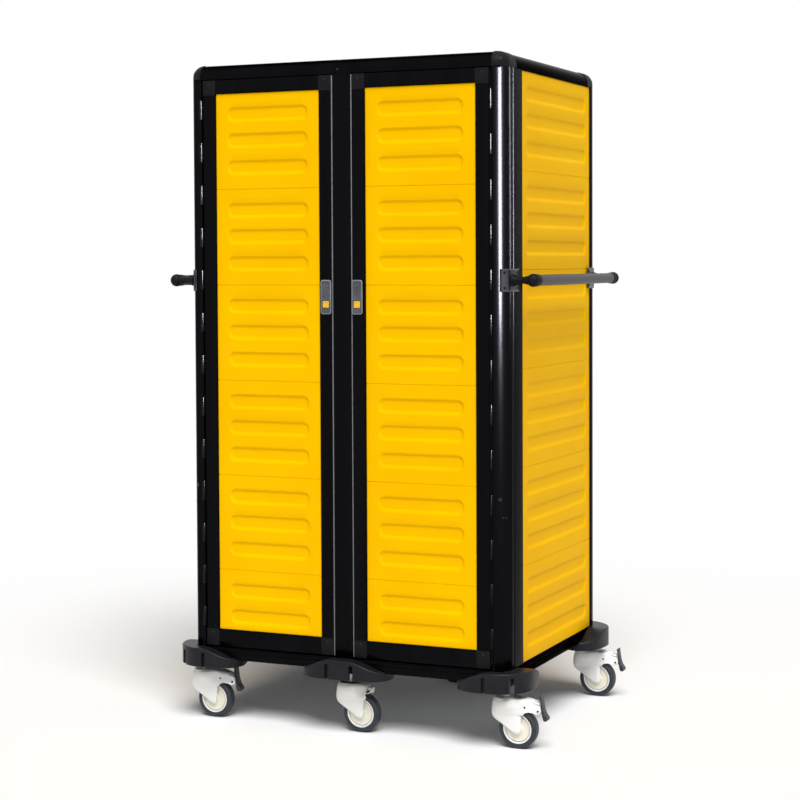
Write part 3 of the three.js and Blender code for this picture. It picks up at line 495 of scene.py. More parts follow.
# a panel as depth over width and height: a rib lowers it by its depth times a smooth step of the distance
# in from the rib's rounded rectangle, and this slope widens towards the rib's lower side. A seam lowers it
# by a round groove, and the rim rolls off along a quarter circle
def ribbedPanel(u0, u1, z0, z1, place, thickness=20):
    tops = [z1 - k * ribs["pitch"] - d for k in range(7) for d in ribs["offsets"]]
    tops = np.array([t for t in tops if t - ribs["height"] > z0 + ribs["slope"]])
    seams = [z for z in z1 - ribs["pitch"] * np.arange(1, 7) if z > z0 + 20]
    walls = [(t, -1) for t in tops] + [(t - ribs["height"], 1) for t in tops]
    u = gridLines(u0, u1, [(u0 + ribs["margin"], 1), (u1 - ribs["margin"], -1)])
    z = gridLines(z0, z1, walls, seams)
    U, Z = np.meshgrid(u, z)
    centres = tops - ribs["height"] / 2
    nearest = centres[np.abs(Z[..., None] - centres).argmin(-1)]
    r = ribs["corner"]
    qu = np.abs(U - (u0 + u1) / 2) - ((u1 - u0) / 2 - ribs["margin"] - r)
    qz = np.abs(Z - nearest) - (ribs["height"] / 2 - r)
    distance = np.hypot(np.maximum(qu, 0), np.maximum(qz, 0)) + np.minimum(np.maximum(qu, qz), 0) - r
    slope = ribs["slope"] + ribs["softer"] * np.clip((nearest - Z) / (ribs["height"] / 2), 0, 1)
    t = np.clip(-distance / slope, 0, 1)
    depth = ribs["depth"] * t * t * (3 - 2 * t)
    if seams:
        off = np.abs(Z[..., None] - np.array(seams)).min(-1)
        depth += ribs["seamDepth"] * np.sqrt(np.clip(1 - (off / ribs["seamHalf"]) ** 2, 0, 1))
    rim = np.minimum(np.minimum(U - u0, u1 - U), np.minimum(Z - z0, z1 - Z))
    lack = np.clip(ribs["edge"] - rim, 0, ribs["edge"])
    depth += ribs["edge"] - np.sqrt(ribs["edge"] ** 2 - lack ** 2)
    rows, columns = U.shape
    index = np.arange(rows * columns).reshape(rows, columns)
    quads = np.stack([index[:-1, :-1], index[:-1, 1:], index[1:, 1:], index[1:, :-1]], -1).reshape(-1, 4)
    border = np.concatenate([index[0, :-1], index[:-1, -1], index[-1, :0:-1], index[:0:-1, 0]])
    back = rows * columns + np.arange(len(border))
    walls = np.stack([border, back, np.roll(back, -1), np.roll(border, -1)], -1)
    points = np.stack([U.ravel(), depth.ravel(), Z.ravel()], 1)
    rear = points[border].copy()
    rear[:, 1] = thickness
    faces = quads.tolist() + walls.tolist() + [back.tolist()]
    return place(np.vstack([points, rear])), faces


def onFront(y):
    return lambda p: np.stack([p[:, 0], y + p[:, 1], p[:, 2]], 1)


def onSide(x):
    return lambda p: np.stack([x - p[:, 1], p[:, 0], p[:, 2]], 1)


def onBack(y):
    return lambda p: np.stack([-p[:, 0], y - p[:, 1], p[:, 2]], 1)


sideShell = ribbedPanel(-206, 265, w0, w1, onSide(391))
addPair("side_modules", [sideShell], yellowAbs, "side_panel", angle=50)
backShell = ribbedPanel(-348.7, 348.7, w0, w1, onBack(307))
addPiece("back_modules", [backShell], yellowAbs, "cart", ["back_panel"], angle=50)
print("walls made")

# tray ledges on the partition and the side liners
tray = {"levels": 12, "pitch": 108, "first": 186, "thickness": 3, "front": -270.7, "rear": 269.3}


# a wall's outline, with one ledge for each level
def ledgeOutline(wallX, ledgeX, tip):
    corners, radii = [(wallX, w0), (ledgeX, w0)], [0.5, 0.5]
    for level in range(tray["levels"]):
        z = tray["first"] + level * tray["pitch"]
        corners += [(ledgeX, z - tray["thickness"]), (tip, z - tray["thickness"]), (tip, z), (ledgeX, z)]
        radii += [2.2, 1.2, 1.2, 2.2]
    return roundCorners(corners + [(ledgeX, w1), (wallX, w1)], radii + [0.5, 0.5], 3)


def runner(loop):
    return [prism(loop, tray["front"], tray["rear"], 0.5, "y", 2)]


rightHalf = ledgeOutline(0, 14, 36)
rightHalf = rightHalf[rightHalf[:, 0] > 0.6]
addPiece("tray_partition", runner(np.vstack([rightHalf, (rightHalf * (-1, 1))[::-1]])), linerAbs, "cart",
         ["centre_partition"])
addPair("tray_liner", runner(ledgeOutline(370.7, 354.2, 332.2)), linerAbs, "runner_liner")
print("tray runners made")

# doors
door = {"x0": 25.7, "x1": 355, "z0": 175, "z1": 1485.6, "front": -310, "back": -278, "stile": 31.1,
        "hingeStile": 32.6, "topRail": 31.2, "bottomRail": 38.6}
x0, x1, z0, z1 = door["x0"], door["x1"], door["z0"], door["z1"]
stile, hingeStile = door["stile"], door["hingeStile"]
topRail, bottomRail = door["topRail"], door["bottomRail"]

# a frame: each point of the profile is a rectangle between the outer and the inner one, at its own depth
def doorFrameShell():
    outer = np.array([[x0, z0], [x1, z0], [x1, z1], [x0, z1]])
    inner = outer + [[stile, bottomRail], [-hingeStile, bottomRail], [-hingeStile, -topRail],
                     [stile, -topRail]]
    f, k = door["front"], door["back"]
    section = [(0.03, f), (0.008, f + 0.4), (0, f + 1.1), (0, k - 0.8), (0.02, k), (0.98, k), (1, k - 0.8),
               (1, f + 2.4), (0.985, f + 1.7), (0.95, f + 1.4), (0.94, f + 0.5), (0.915, f)]
    return stackRings([inPlane(outer + (inner - outer) * t, y, "y") for t, y in section], joined=True)


latch = {"x0": 25.8, "x1": 51.8, "z0": 949, "z1": 1026, "corner": 5.5, "rim": 1.5, "grip": 3.6,
         "buttonX": 38.7, "buttonZ": 971, "button": 7.5, "gap": 0.4}
room = latch["button"] + latch["gap"]


# a square round the button's centre
def buttonSquare(half, radius, steps=5):
    x, z = latch["buttonX"], latch["buttonZ"]
    return plate(x - half, x + half, z - half, z + half, radius, steps)


# the latch plate's outline, further in by an inset
def latchLoop(inset=0.0):
    return plate(latch["x0"] + inset, latch["x1"] - inset, latch["z0"] + inset, latch["z1"] - inset,
                 latch["corner"] - inset, 8)


# squares of textured nylon that join stiles and rails, with a countersunk screw each
joint = {"inset": 0.2, "free": 31.2, "hinged": 32.8, "top": 34, "bottom": 38.8}
jx0, jx1, jz0, jz1 = x0 + joint["inset"], x1 - joint["inset"], z0 + joint["inset"], z1 - joint["inset"]
corners = [(a, b, c, d) for c, d in ((jz1 - joint["top"], jz1), (jz0, jz0 + joint["bottom"]))
           for a, b in ((jx0, jx0 + joint["free"]), (jx1 - joint["hinged"], jx1))]
cornerShells = [prism(plate(a, b, c, d, 1.6, 3), -310.5, -277.8, 0.9, "y", 3) for a, b, c, d in corners]
cornerScrews = [screwHead(((a + b) / 2, -310.4, d - (9 if d == jz1 else 8)), (0, -1, 0), 2.4, 0.5)
                for a, b, c, d in corners]

# latch: a plate with a rim painted pale as a highlight, a grip recess with ridges and a window for the button
grip, gripFoot = latch["grip"], latch["buttonZ"] + room
latchPlate = prism(latchLoop(), -313.5, -310.3, 1.4, "y", 4)
gripRecess = prism(plate(latch["x0"] + grip, latch["x1"] - grip, gripFoot + 4.5, latch["z1"] - 4, 3.4, 6),
                   -320, -311.8, 0.9, "y", 4)
latchWindow = prism(buttonSquare(room, 1.8), -320, -305, 0.1, "y", 1)
ridges = [prism(plate(latch["x0"] + 7, latch["x1"] - 7, z, z + 1.8, 0.8, 3), -312.9, -311, 0.6, "y", 3)
          for z in np.arange(gripFoot + 12, latch["z1"] - 16, 4.6)]
latchRim = prism(latchLoop(), -313.52, -312.4, 0.5, "y", 3)
rimRoom = prism(latchLoop(latch["rim"]), -320, -305, 0.2, "y", 2)
buttonRoom = prism(buttonSquare(room, 1.6), -330, -299.5, 0.1, "y", 1)
button = prism(buttonSquare(latch["button"], 2.2, 6), -315.2, -304.2, 1.3, "y", 4)
buttonDish = turned([(0, -6.2), (2.5, -6.0), (4.4, -5.4), (5.4, -4.9), (5.8, -8), (0, -8)],
                    (latch["buttonX"], -308.6, latch["buttonZ"]), "y", 32)

# soft gasket along the free edge, which shows as a pale line beside the centre post
gasket = prism(plate(22.7, 25.6, -309.2, -298, 0.9, 4), z0 + 1, z1 - 1, 0.5, "z", 2)

# hinge: knuckles on one pin, every second one on the door's leaf
hinge = {"x": 359, "y": -311, "radius": 3, "pin": 1.5, "leafX": 3.7, "leaf": 1.4, "depth": 24, "pitch": 98,
         "long": 44, "gap": 0.4, "low": 180, "high": 1480.6}
hingeX, hingeY, low, high = hinge["x"], hinge["y"], hinge["low"], hinge["high"]
count = int((high - low) // hinge["pitch"])
start = (low + high - (count - 1) * hinge["pitch"] - hinge["long"]) / 2
doorSpans = [(start + i * hinge["pitch"], start + i * hinge["pitch"] + hinge["long"]) for i in range(count)]
edges = np.r_[low - hinge["gap"], np.ravel(doorSpans), high + hinge["gap"]].reshape(-1, 2)
postSpans = [(a + hinge["gap"], b - hinge["gap"]) for a, b in edges]


# one leaf with its knuckles, each on a foot. The sign says on which side of the pin the leaf lies
def hingeShells(sign, spans):
    leafX = hingeX + sign * hinge["leafX"]
    a, b = sorted((leafX, leafX - sign * hinge["leaf"]))
    shells = [prism(plate(a, b, hingeY + 3.5, hingeY + hinge["depth"], 0.3, 2), low, high, 0.3, "z", 1)]
    a, b = sorted((hingeX + sign * 1.2, leafX))
    foot = plate(a, b, hingeY + 0.5, hingeY + 5, 0.5, 2)
    for bottom, top in spans:
        shells.append(rod(hinge["radius"], bottom, top, (hingeX, hingeY, 0), "z", 0.7, 24))
        shells.append(prism(foot, bottom + 0.1, top - 0.1, 0.3, "z", 1))
    return shells


pin = rod(hinge["pin"], low, high, (hingeX, hingeY, 0), "z", 0.3, 12)
panelGap = 0.3
panelShell = ribbedPanel(x0 + stile + panelGap, x1 - hingeStile - panelGap, z0 + bottomRail + panelGap,
                         z1 - topRail - panelGap, onFront(-306))
addPair("door_profile", [doorFrameShell()], blackAnodised, "door_frame", "door",
        [buttonRoom])
addPair("door_corner_joints", cornerShells, charcoalNylon, body="door")
addPair("door_corner_screws", cornerScrews, blackSteel, body="door")
addPair("door_modules", [panelShell], yellowAbs, "door_panel", "door", angle=50)
addPair("door_gasket", [gasket], gasketRubber, body="door")
addPair("latch_body", [latchPlate], greyAbs, "latch_plate", "door", [gripRecess, latchWindow])
addPair("latch_ridges", ridges, greyAbs, body="door")
# the rim's pale colour is a painted highlight
addPair("latch_highlight_rim", [latchRim], rimHighlightAbs, body="door", cuts=[rimRoom])
addPair("push_button", [button], buttonAcetal, "latch_button", "button", [buttonDish])
addPair("hinge_knuckles", hingeShells(-1, doorSpans), blackHinge, "hinge_door_leaf", "door")
addPair("hinge_post_knuckles", hingeShells(1, postSpans) + [pin], blackAnodised,
        "hinge_post_leaf")
print("doors made")

# push handles
handle = {"x": 446, "y": 280, "z": 1025, "elbow": 14.5, "plateStart": 378, "plateEnd": -237}
hx, hy, hz = handle["x"], -handle["y"], handle["z"]
plateAngle = np.arcsin((handle["plateStart"] - innerX) / (reach + 0.3))


# stations round the front right post between two angles from the front, then along its side at the given Ys
def postStations(first, last, count, sideYs=()):
    angle = np.linspace(first, last, count)
    base = np.vstack([np.tile([innerX, -innerY], (count, 1)),
                      np.stack([np.full(len(sideYs), innerX), np.asarray(sideYs, float)], 1)])
    out = np.vstack([np.stack([np.sin(angle), -np.cos(angle)], 1), np.tile([1, 0], (len(sideYs), 1))])
    return base, out


# the bracket's plate follows the post's outline: a flat bar with a raised rim, carried round it
def bracketPlate():
    low, high = hz - 25, hz + 25
    bar = roundCorners([(-0.3, low), (-3.3, low), (-3.3, low + 4), (-2.4, low + 4),
                        (-2.4, high - 4), (-3.3, high - 4), (-3.3, high), (-0.3, high)],
                       [0.4, 0.9, 0.3, 0.3, 0.3, 0.3, 0.9, 0.4], 3)
    sideYs = handle["plateEnd"] + np.array([-18, -2.5, 0])
    return carried(postStations(plateAngle, np.pi / 2, 15, sideYs), bar)


# raised borders at the plate's two ends and beside its bend
def bracketBorders():
    low, high = hz - 24.6, hz + 24.6
    bar = roundCorners([(-2.2, low), (-3.3, low), (-3.3, high), (-2.2, high)], [0.2, 0.5, 0.5, 0.2], 2)
    end = handle["plateEnd"]
    sideEnd = np.array([[innerX, end - 3.5], [innerX, end - 0.1]]), np.array([[1, 0], [1, 0]])
    return [carried(stations, bar) for stations in (postStations(plateAngle, plateAngle + 0.06, 3),
                                                    postStations(np.radians(66), np.radians(70), 3), sideEnd)]


# the arm narrows from a foot on the plate to a neck, then swells into the ball elbow
armProfile = [(0, 396.2), (12.5, 396.2), (13, 397.2), (11.2, 399.5), (9, 404), (7.6, 412), (7.2, 420),
              (7.8, 426), (9.4, 431), (9.4, 440), (0, 440)]
arm = turned(armProfile, (0, hy, hz), "x", 32)
elbow = handle["elbow"]
theta = np.linspace(0, np.pi, 25)
ball = turned(np.stack([elbow * np.sin(theta), -elbow * np.cos(theta)], 1), (hx, hy, hz), "y", 40)
seat = hy + elbow * 0.7
trim = rod(elbow + 2, seat, -200, (hx, 0, hz), "y", 0.2, 32)
gusset = prism(plate(397, 424, hz - 1.6, hz + 1.6, 0.6, 2), hy - 13, hy + 13, 0.6, "y", 2)
gussetTall = prism(roundCorners([(397, hz - 14), (404, hz - 12), (421, hz - 6), (421, hz + 6), (404, hz + 12),
                                 (397, hz + 14)], 0.6, 2), hy - 1.6, hy + 1.6, 0.6, "y", 2)
screw = {"angle": np.radians(48), "reach": 36.8, "sideX": 396.8, "sideY": -247.5, "apart": 16.5}
screwOut = np.array([np.sin(screw["angle"]), -np.cos(screw["angle"]), 0])
screwFoot = np.array([innerX, -innerY, 0]) + screw["reach"] * screwOut
bracketScrews = [screwHead((*foot[:2], hz + way * screw["apart"]), outward, 3.0, 1.1)
                 for foot, outward in ((screwFoot, screwOut), ((screw["sideX"], screw["sideY"]), (1, 0, 0)))
                 for way in (1, -1)]
bracketShells = bracketBorders() + [arm, gusset, gussetTall]
for end, flip in (("front", lambda shells: shells), ("rear", mirrorY)):
    addPair(f"{end}_handle_mount", flip(bracketShells), charcoalNylon,
            f"{end}_handle_bracket")
    # the mount plate's paler nylon is a painted sheen
    addPair(f"{end}_mount_plate", flip([bracketPlate()]), sheenPaintedNylon)
    addPair(f"{end}_handle_elbow", flip([ball]), charcoalNylon, cuts=flip([trim]))
    addPair(f"{end}_handle_screws", flip(bracketScrews), blackSteel)

# the bar between the elbows, with a collar and a ring at each end
end = -seat - 0.3
tubeProfile = [(0, 10 - end), (11.9, 10 - end), (12, 12 - end), (12, end - 12), (11.9, end - 10),
               (0, end - 10)]
tube = turned(tubeProfile, (hx, 0, hz), "y", 48)
collarLoop = plate(6, 13.2, -end, 14 - end, [0.5, 1.4, 1.2, 0.5], 4)
collar = [turned(collarLoop, (hx, 0, hz), "y", 40, True)]
ring = [turned(plate(11.6, 13.5, 4.2 - end, 5.8 - end, 0.5, 3), (hx, 0, hz), "y", 40, True)]
addPair("push_bar", [tube], powderCoat, "handle_bar")
addPair("bar_collars", collar + mirrorY(collar), charcoalNylon)
addPair("bar_rings", ring + mirrorY(ring), powderCoat)
print("handles made")

# casters, each drawn on its own swivel axis with the wheel towards +X
caster = {"trail": 30, "wheel": 44, "slotHalf": 14.2, "tyreGap": 3.4, "cheek": 19.2, "top": 112}
slotRadius = caster["wheel"] + caster["tyreGap"]
axleAt = (caster["trail"], 0, caster["wheel"])


def curve(z, points):
    points = np.asarray(points, float)
    return np.interp(z, points[:, 0], points[:, 1])


# the housing as a stack of rounded sections: at each height its rear and front limits and its half width
# are read from curves, and the section between them is a superellipse that grows rounder towards the head
def housingShell(nose):
    crown = np.linspace(0.15, np.pi / 2, 8)
    z = np.concatenate([np.linspace(33.8, 46, 12), np.linspace(48, 104, 36),
                        caster["top"] - 8 * (1 - np.sin(crown))])
    rear = curve(z, [(33.8, 33), (35, 26), (38, 19.5), (43, 12), (54, -6.7), (62, -19.6), (66, -25.2),
                     (70, -28.2), (76, -30.3), (86, -30.9), (94, -30.4), (102, -29), (108, -26.8),
                     (112, -23)])
    if nose:
        front = curve(z, [(33.8, 34), (35, 36.4), (38, 38.2), (43, 39.2), (60, 40), (76, 42), (77, 60),
                          (78.5, 76), (80, 80.5), (83, 84), (87, 85.4), (91, 85.2), (98, 84), (101, 83.6),
                          (104, 80), (107, 72), (110, 60), (112, 44)])
    else:
        front = curve(z, [(33.8, 34), (35, 36.4), (38, 38.2), (43, 39.2), (60, 40), (74, 41), (78, 46.6),
                          (81, 47.6), (100, 47.6), (105, 46), (109, 42), (112, 34)])
    cheek = caster["cheek"]
    wide = curve(z, [(33.8, 15), (35, 17.6), (38, 18.8), (43, cheek), (72, cheek), (84, 23.4), (94, 28.4),
                     (102, 29.6), (108, 28), (112, 23)])
    power = curve(z, [(24, 6), (70, 6), (92, 3), (112, 2.6)])[:, None]
    a = np.linspace(0, 2 * np.pi, 72, endpoint=False)[None]
    u = np.sign(np.cos(a)) * np.abs(np.cos(a)) ** (2 / power)
    v = np.sign(np.sin(a)) * np.abs(np.sin(a)) ** (2 / power)
    x = (rear + front)[:, None] / 2 + (front - rear)[:, None] / 2 * u
    # the head is widest over the swivel axis and narrows to the fork's width and then to the nose's tip
    taper = np.clip((x - 12) / 30, 0, 1)
    taper = taper * taper * (3 - 2 * taper)
    slim = np.minimum(wide[:, None], cheek - 3.5 * np.clip((x - 50) / 32, 0, 1))
    return stackRings(np.stack([x, v * (wide[:, None] * (1 - taper) + slim * taper), z[:, None] + 0 * x], -1))


half = caster["slotHalf"]
wheelCut = [rod(slotRadius, -half, half, axleAt, "y", 2.5, 64),
            prism(plate(caster["trail"] - slotRadius, caster["trail"] + slotRadius, -half, half, 2.5), -10,
                  caster["wheel"], 0.1)]
# the arch in front of the cheeks follows the tyre, so that its upper part shows from the side
archCut = [prism(roundCorners([(40.4, 20), (100, 20), (100, 78), (77, 78), (70, 82.6), (58, 84.2), (49, 82),
                               (41.6, 72)], [0.5, 0.5, 0.5, 3, 8, 8, 6, 6], 5), -40, 40, 0.1, "y", 1)]
# a narrow gap parts the lip above the pedal from the nose
beakLoop = roundCorners([(67, 105.8), (66.4, 103.6), (78, 98.8), (92, 95), (92, 97.4), (79, 101.4)], 0.6, 3)
beakCut = [prism(beakLoop, -40, 40, 0.1, "y", 1)]
lugCut = [prism(plate(67.7, 100, 60, 120, 1), -5.3, 5.3, 0.1, "y", 1)]
pivotCut = [rod(2.3, -40, 40, (78, 0, 87), "y", 0.1, 20)]
crossPin = rod(2.2, -19.4, 19.4, (49.5, 0, 94.5), "y", 0.5, 20)
neck = turned([(0, 106), (26, 106), (26, 110.4), (24.6, 112), (9, 112), (7.6, 112.8), (7.2, 114.4),
               (7.2, 121.8), (7.9, 122.2), (7.9, 126.2), (7.2, 126.6), (7.2, 136.2), (6.6, 136.8),
               (6, 136.8), (6, 159.6), (5.2, 160), (0, 160)], (0, 0, 0), "z", 40)
axle = rod(4, 0.2 - caster["cheek"], caster["cheek"] - 0.2, axleAt, "y", 0.6, 24)
# a casting lug on the plain housings, where the outer ones have their nose
lugBump = prism(roundCorners([(46, 90.5), (55.5, 90.5), (57.5, 92.5), (57.5, 101), (55.5, 103), (46, 103)],
                             [0.5, 1, 1, 1, 1, 0.5], 3), -7, 7, 2, "y", 4)

# the wheel disc: profile of (radius, along) from the bore out, with a hub boss, a dished web and a ring
# groove
discHalf = [(4.4, 12), (9.5, 12), (11.2, 11.4), (12.2, 10.4), (13, 9.2), (16, 8.7), (24.6, 9), (25.6, 10),
            (26.8, 10), (27.4, 9), (27.6, 4)]
disc = np.array(discHalf + [(r, -h) for r, h in discHalf[::-1]])
discShell = turned(disc, axleAt, "y", 72, True)
# the rim that carries the tyre is a paler ring, parted from the disc by a groove
rimHalf = [(27.4, 5), (29.4, 5), (29.6, 11.2), (30.2, 11.9), (32.4, 11.9), (33.2, 11.2)]
rimShell = turned(np.array(rimHalf + [(r, -h) for r, h in rimHalf[::-1]]), axleAt, "y", 72, True)
# the tyre: a crowned tread between round shoulders on flat sides
tyreLoop = roundCorners([(33.5, -12.6), (38.8, -13), (43.4, -9.5), (44, 0), (43.4, 9.5), (38.8, 13),
                         (33.5, 12.6)], [0.3, 2.6, 3.4, 30, 3.4, 2.6, 0.3], 5)
tyreShell = turned(tyreLoop, axleAt, "y", 96, True)

# the pedal: a curved foot plate seen from the side, with a lip below, carried across the caster on its lug
# and pin
pedalOutline = roundCorners(
    [(84, 119.2), (85.6, 104), (88, 91.5), (91.6, 81), (97.6, 73.6), (98.4, 68.6), (95.4, 65.1), (89.6, 66.4),
     (86.9, 76), (85.4, 90), (83.4, 104), (81.1, 118.8), (82.4, 120.4)],
    [1.2, 20, 25, 16, 2.4, 2.2, 2.2, 4, 20, 25, 20, 1.2, 0.8], 4)
pedalLug = roundCorners([(70, 82), (88.4, 80.5), (88.2, 95.5), (70, 92)], [3, 1, 1, 3], 4)
pedal = [prism(pedalOutline, -11, 11, 1.6, "y", 4), prism(pedalLug, -5, 5, 0.6, "y", 2),
         rod(2, -15, 15, (78, 0, 87), "y", 0.4, 20)]


# a piece of one caster, moved to the caster's place, on its body of that name
def addToCaster(place, name, shells, finish, body, slot, node="", cuts=(), angle=32, joins=()):
    shells, cuts, joins = (shifted(group, *casterPlaces[place]) for group in (shells, cuts, joins))
    addPiece(f"{place}_{name}", shells, finish, f"{place}_{body}", [f"{place}_{node}"] if node else [],
             cuts, angle, joins)


casterParts = [("axle", [axle], whitePolyamide, "caster", "white_plastic"),
               ("cross_pin", [crossPin], blackSteel, "caster", "white_plastic"),
               ("wheel_disc", [discShell], creamPolypropylene, "wheel", "cream_plastic", "wheel_hub"),
               ("wheel_rim", [rimShell], whitePolyamide, "wheel", "cream_plastic"),
               ("tyre", [tyreShell], tyreRubber, "wheel", "grey_tyre", "wheel_tyre")]
pedalPart = ("foot_pedal", pedal, slateNylon, "pedal", "black_plastic", "brake_pedal")
for place in casterPlaces:
    outer = "middle" not in place
    cuts = wheelCut + archCut + (beakCut + lugCut + pivotCut if outer else [])
    addToCaster(place, "fork", [housingShell(outer)], whitePolyamide, "caster", "white_plastic",
                "caster_housing", cuts, 38, [neck] if outer else [neck, lugBump])
    for part in casterParts + ([pedalPart] if outer else []):
        addToCaster(place, *part)
print("casters made")

# bumpers, drawn on the front right and front middle caster axes
bumper = {"bottom": 127, "top": 171, "tipTop": 147, "wall": 8, "front": 64, "side": 59, "corner": 81,
          "flat": 46, "curl": 6, "tip": 108, "sideTip": 105, "taper": 14, "back": 36, "wingStart": 20,
          "edge": 3.0, "slot": 30, "slotWidth": 9.5, "slotTop": 161, "shadeSkinDepth": 7.2, "slotDepth": 10,
          "cornerSlotDepth": 40}


# the top's height falls from the block to a wing's tip along a smooth step
def fall(distance, end):
    t = np.clip((distance - bumper["wingStart"]) / (end - bumper["wingStart"]), 0, 1)
    return (bumper["top"] - bumper["tipTop"]) * t * t * (3 - 2 * t)


def middleTop(x, y):
    return bumper["top"] - fall(np.abs(x), bumper["tip"])


def cornerTop(x, y):
    return bumper["top"] - np.maximum(fall(-x, bumper["tip"]), fall(y, bumper["sideTip"]))


# a cubic curve through four control points, without its first point
def bezier(p0, p1, p2, p3, steps=14):
    t = np.linspace(0, 1, steps + 1)[1:, None]
    p0, p1, p2, p3 = map(np.asarray, (p0, p1, p2, p3))
    return (1 - t) ** 3 * p0 + 3 * (1 - t) ** 2 * t * p1 + 3 * (1 - t) * t ** 2 * p2 + t ** 3 * p3


def straight(a, b, steps=6):
    return np.asarray(a) + (np.asarray(b, float) - a) * np.linspace(0, 1, steps + 1)[1:, None]


f, tip, back, flat = bumper["front"], bumper["tip"], bumper["back"], bumper["flat"]
side, end, corner, curl = bumper["side"], bumper["sideTip"], bumper["corner"], bumper["curl"]
wingTip, wingHeel = (tip, -curl), (tip - bumper["taper"], back)
leftTip, leftHeel, sideHeel = (-tip, -curl), (-wingHeel[0], back), (-back, end - bumper["taper"])
leftWing = [np.array([leftTip]), bezier(leftTip, (-tip, 20 - f), (24 - tip, -f), (-flat, -f))]
middleLoop = np.vstack(leftWing + [
    straight((-flat, -f), (flat, -f), 10), bezier((flat, -f), (tip - 24, -f), (tip, 20 - f), wingTip),
    straight(wingTip, wingHeel), straight(wingHeel, leftHeel, 16), straight(leftHeel, leftTip)[:-1]])
cornerLoop = np.vstack(leftWing + [
    straight((-flat, -f), (side - corner, -f), 3),
    quarter((side - corner, corner - f), corner, -90, 0, 18)[1:],
    bezier((side, corner - f), (side, end - 24), (side - 20, end), (0, end)),
    straight((0, end), sideHeel), straight(sideHeel, (-back, back)),
    straight((-back, back), leftHeel), straight(leftHeel, leftTip)[:-1]])


# a block over an outline whose top follows a height: the wall's rings, a rounded rim, then rings that close
# to the middle while they stay on the top
def bumperShell(loop, top, inset=0.0, bottom=None, drop=0.0):
    edge = bumper["edge"]
    loop = insetLoop(loop, inset)
    low = bumper["bottom"] if bottom is None else bottom
    turn = np.linspace(0, np.pi / 2, 6)
    rings = []
    for s, h in zip(1.6 * (1 - np.cos(turn[::-1])), 1.6 * (1 - np.sin(turn[::-1]))):
        rings.append(inPlane(insetLoop(loop, s), low + h, "z"))
    for s, h in zip(edge * (1 - np.cos(turn)), edge * (1 - np.sin(turn))):
        ring = insetLoop(loop, s)
        rings.append(inPlane(ring, top(ring[:, 0], ring[:, 1]) - drop - h, "z"))
    rim = insetLoop(loop, edge)
    for t in (0.97, 0.9, 0.8, 0.68, 0.55, 0.4, 0.25, 0.1, 0):
        ring = rim * t
        rings.append(inPlane(ring, top(ring[:, 0], ring[:, 1]) - drop, "z"))
    return stackRings(rings)


# the cabinet's footprint, grown sideways by a distance
def footprint(grown, low, high):
    x, y = halfX + grown, halfY + grown
    return prism(plate(-x, x, -y, y, reach + grown, 16), low, high, 0.1)


# a block less the cabinet's footprint, a chamber, the caster's round hole and two slots in the front. It is
# drawn at the front middle or the front right and mirrored to its place. The first slot stops short of the
# chamber, so a thin skin of dark elastomer backs it as painted shade where an open slot would show shadow
def addBumper(place, loop, top, slotDepths):
    x, y = casterPlaces[place]
    ax, ay, wall, half = abs(x), -abs(y), bumper["wall"], bumper["slotWidth"] / 2
    lowRoom = prism(insetLoop(loop, wall), 100, 137.6, 0.1)
    hole = rod(16, 100, 150, (0, 0, 0), "z", 0.1, 32)
    slots = [prism(plate(c - half, c + half, -f - 6, depth - f, 0.3, 1), 100, bumper["slotTop"], 0.2)
             for c, depth in zip((-bumper["slot"], bumper["slot"]), slotDepths)]
    piece = makeMesh(f"{place}_bumper_block", shifted([bumperShell(loop, top)], ax, ay), bumperElastomer)
    chamber = makeMesh("chamber", shifted([bumperShell(loop, top, wall, 130, wall)], ax, ay), bumperElastomer)
    carve(chamber, [footprint(4.3, 90, 220)])
    points = np.empty(3 * len(chamber.data.vertices), np.float32)
    chamber.data.vertices.foreach_get("co", points)
    points = points.reshape(-1, 3).astype(float) / mm
    highRoom = points, [list(face.vertices) for face in chamber.data.polygons]
    bpy.data.objects.remove(chamber)
    for cuts in ([footprint(0.3, 143.2, 200)], shifted([lowRoom], ax, ay), [highRoom],
                 shifted(slots + [hole], ax, ay)):
        carve(piece, cuts)
    flipX, flipY = (-1 if x < 0 else 1), (-1 if y > 0 else 1)
    piece.data.transform(Matrix.Diagonal((flipX, flipY, 1, 1)))
    if flipX * flipY < 0:
        piece.data.flip_normals()
    smoothSides(piece, 40)
    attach(piece, "cart")
    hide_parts(f"{place}_bumper")


# the first slot of each bumper ends in a thin dark skin: painted shade in place of the shadow behind an open
# slot
for place in casterPlaces:
    if "middle" in place:
        addBumper(place, middleLoop, middleTop, (bumper["shadeSkinDepth"], bumper["slotDepth"]))
    else:
        addBumper(place, cornerLoop, cornerTop, (bumper["shadeSkinDepth"], bumper["cornerSlotDepth"]))
print("bumpers made")

# floor, light and camera
studio = {"floorSize": 60, "ambient": 0.15, "paper": 0.94, "bounce": 0.86, "fadeStart": 1.4, "fadeEnd": 3.0}


# a material or world that is emptied first, so that only its own nodes are left
def emptyTree(owner):
    owner.use_nodes = True
    owner.node_tree.nodes.clear()
    return owner.node_tree


# one for the rays that see the plain white surroundings: the camera's, and what glossy and clear surfaces
# show
def whiteRays(tree):
    path = addNode(tree, "ShaderNodeLightPath")
    seen = addNode(tree, "ShaderNodeMath", {"operation": "MAXIMUM"},
                   {0: path.outputs["Is Camera Ray"], 1: path.outputs["Is Glossy Ray"]})
    return addNode(tree, "ShaderNodeMath", {"operation": "MAXIMUM"},
                   {0: seen.outputs[0], 1: path.outputs["Is Transmission Ray"]}).outputs[0]


floorMesh = bpy.data.meshes.new("floor")
size = studio["floorSize"]
floorCorners = [(-size, -size, 0), (size, -size, 0), (size, size, 0), (-size, size, 0)]
floorMesh.from_pydata(floorCorners, [], [(0, 1, 2, 3)])
floor = bpy.data.objects.new("floor", floorMesh)
scene.collection.objects.link(floor)
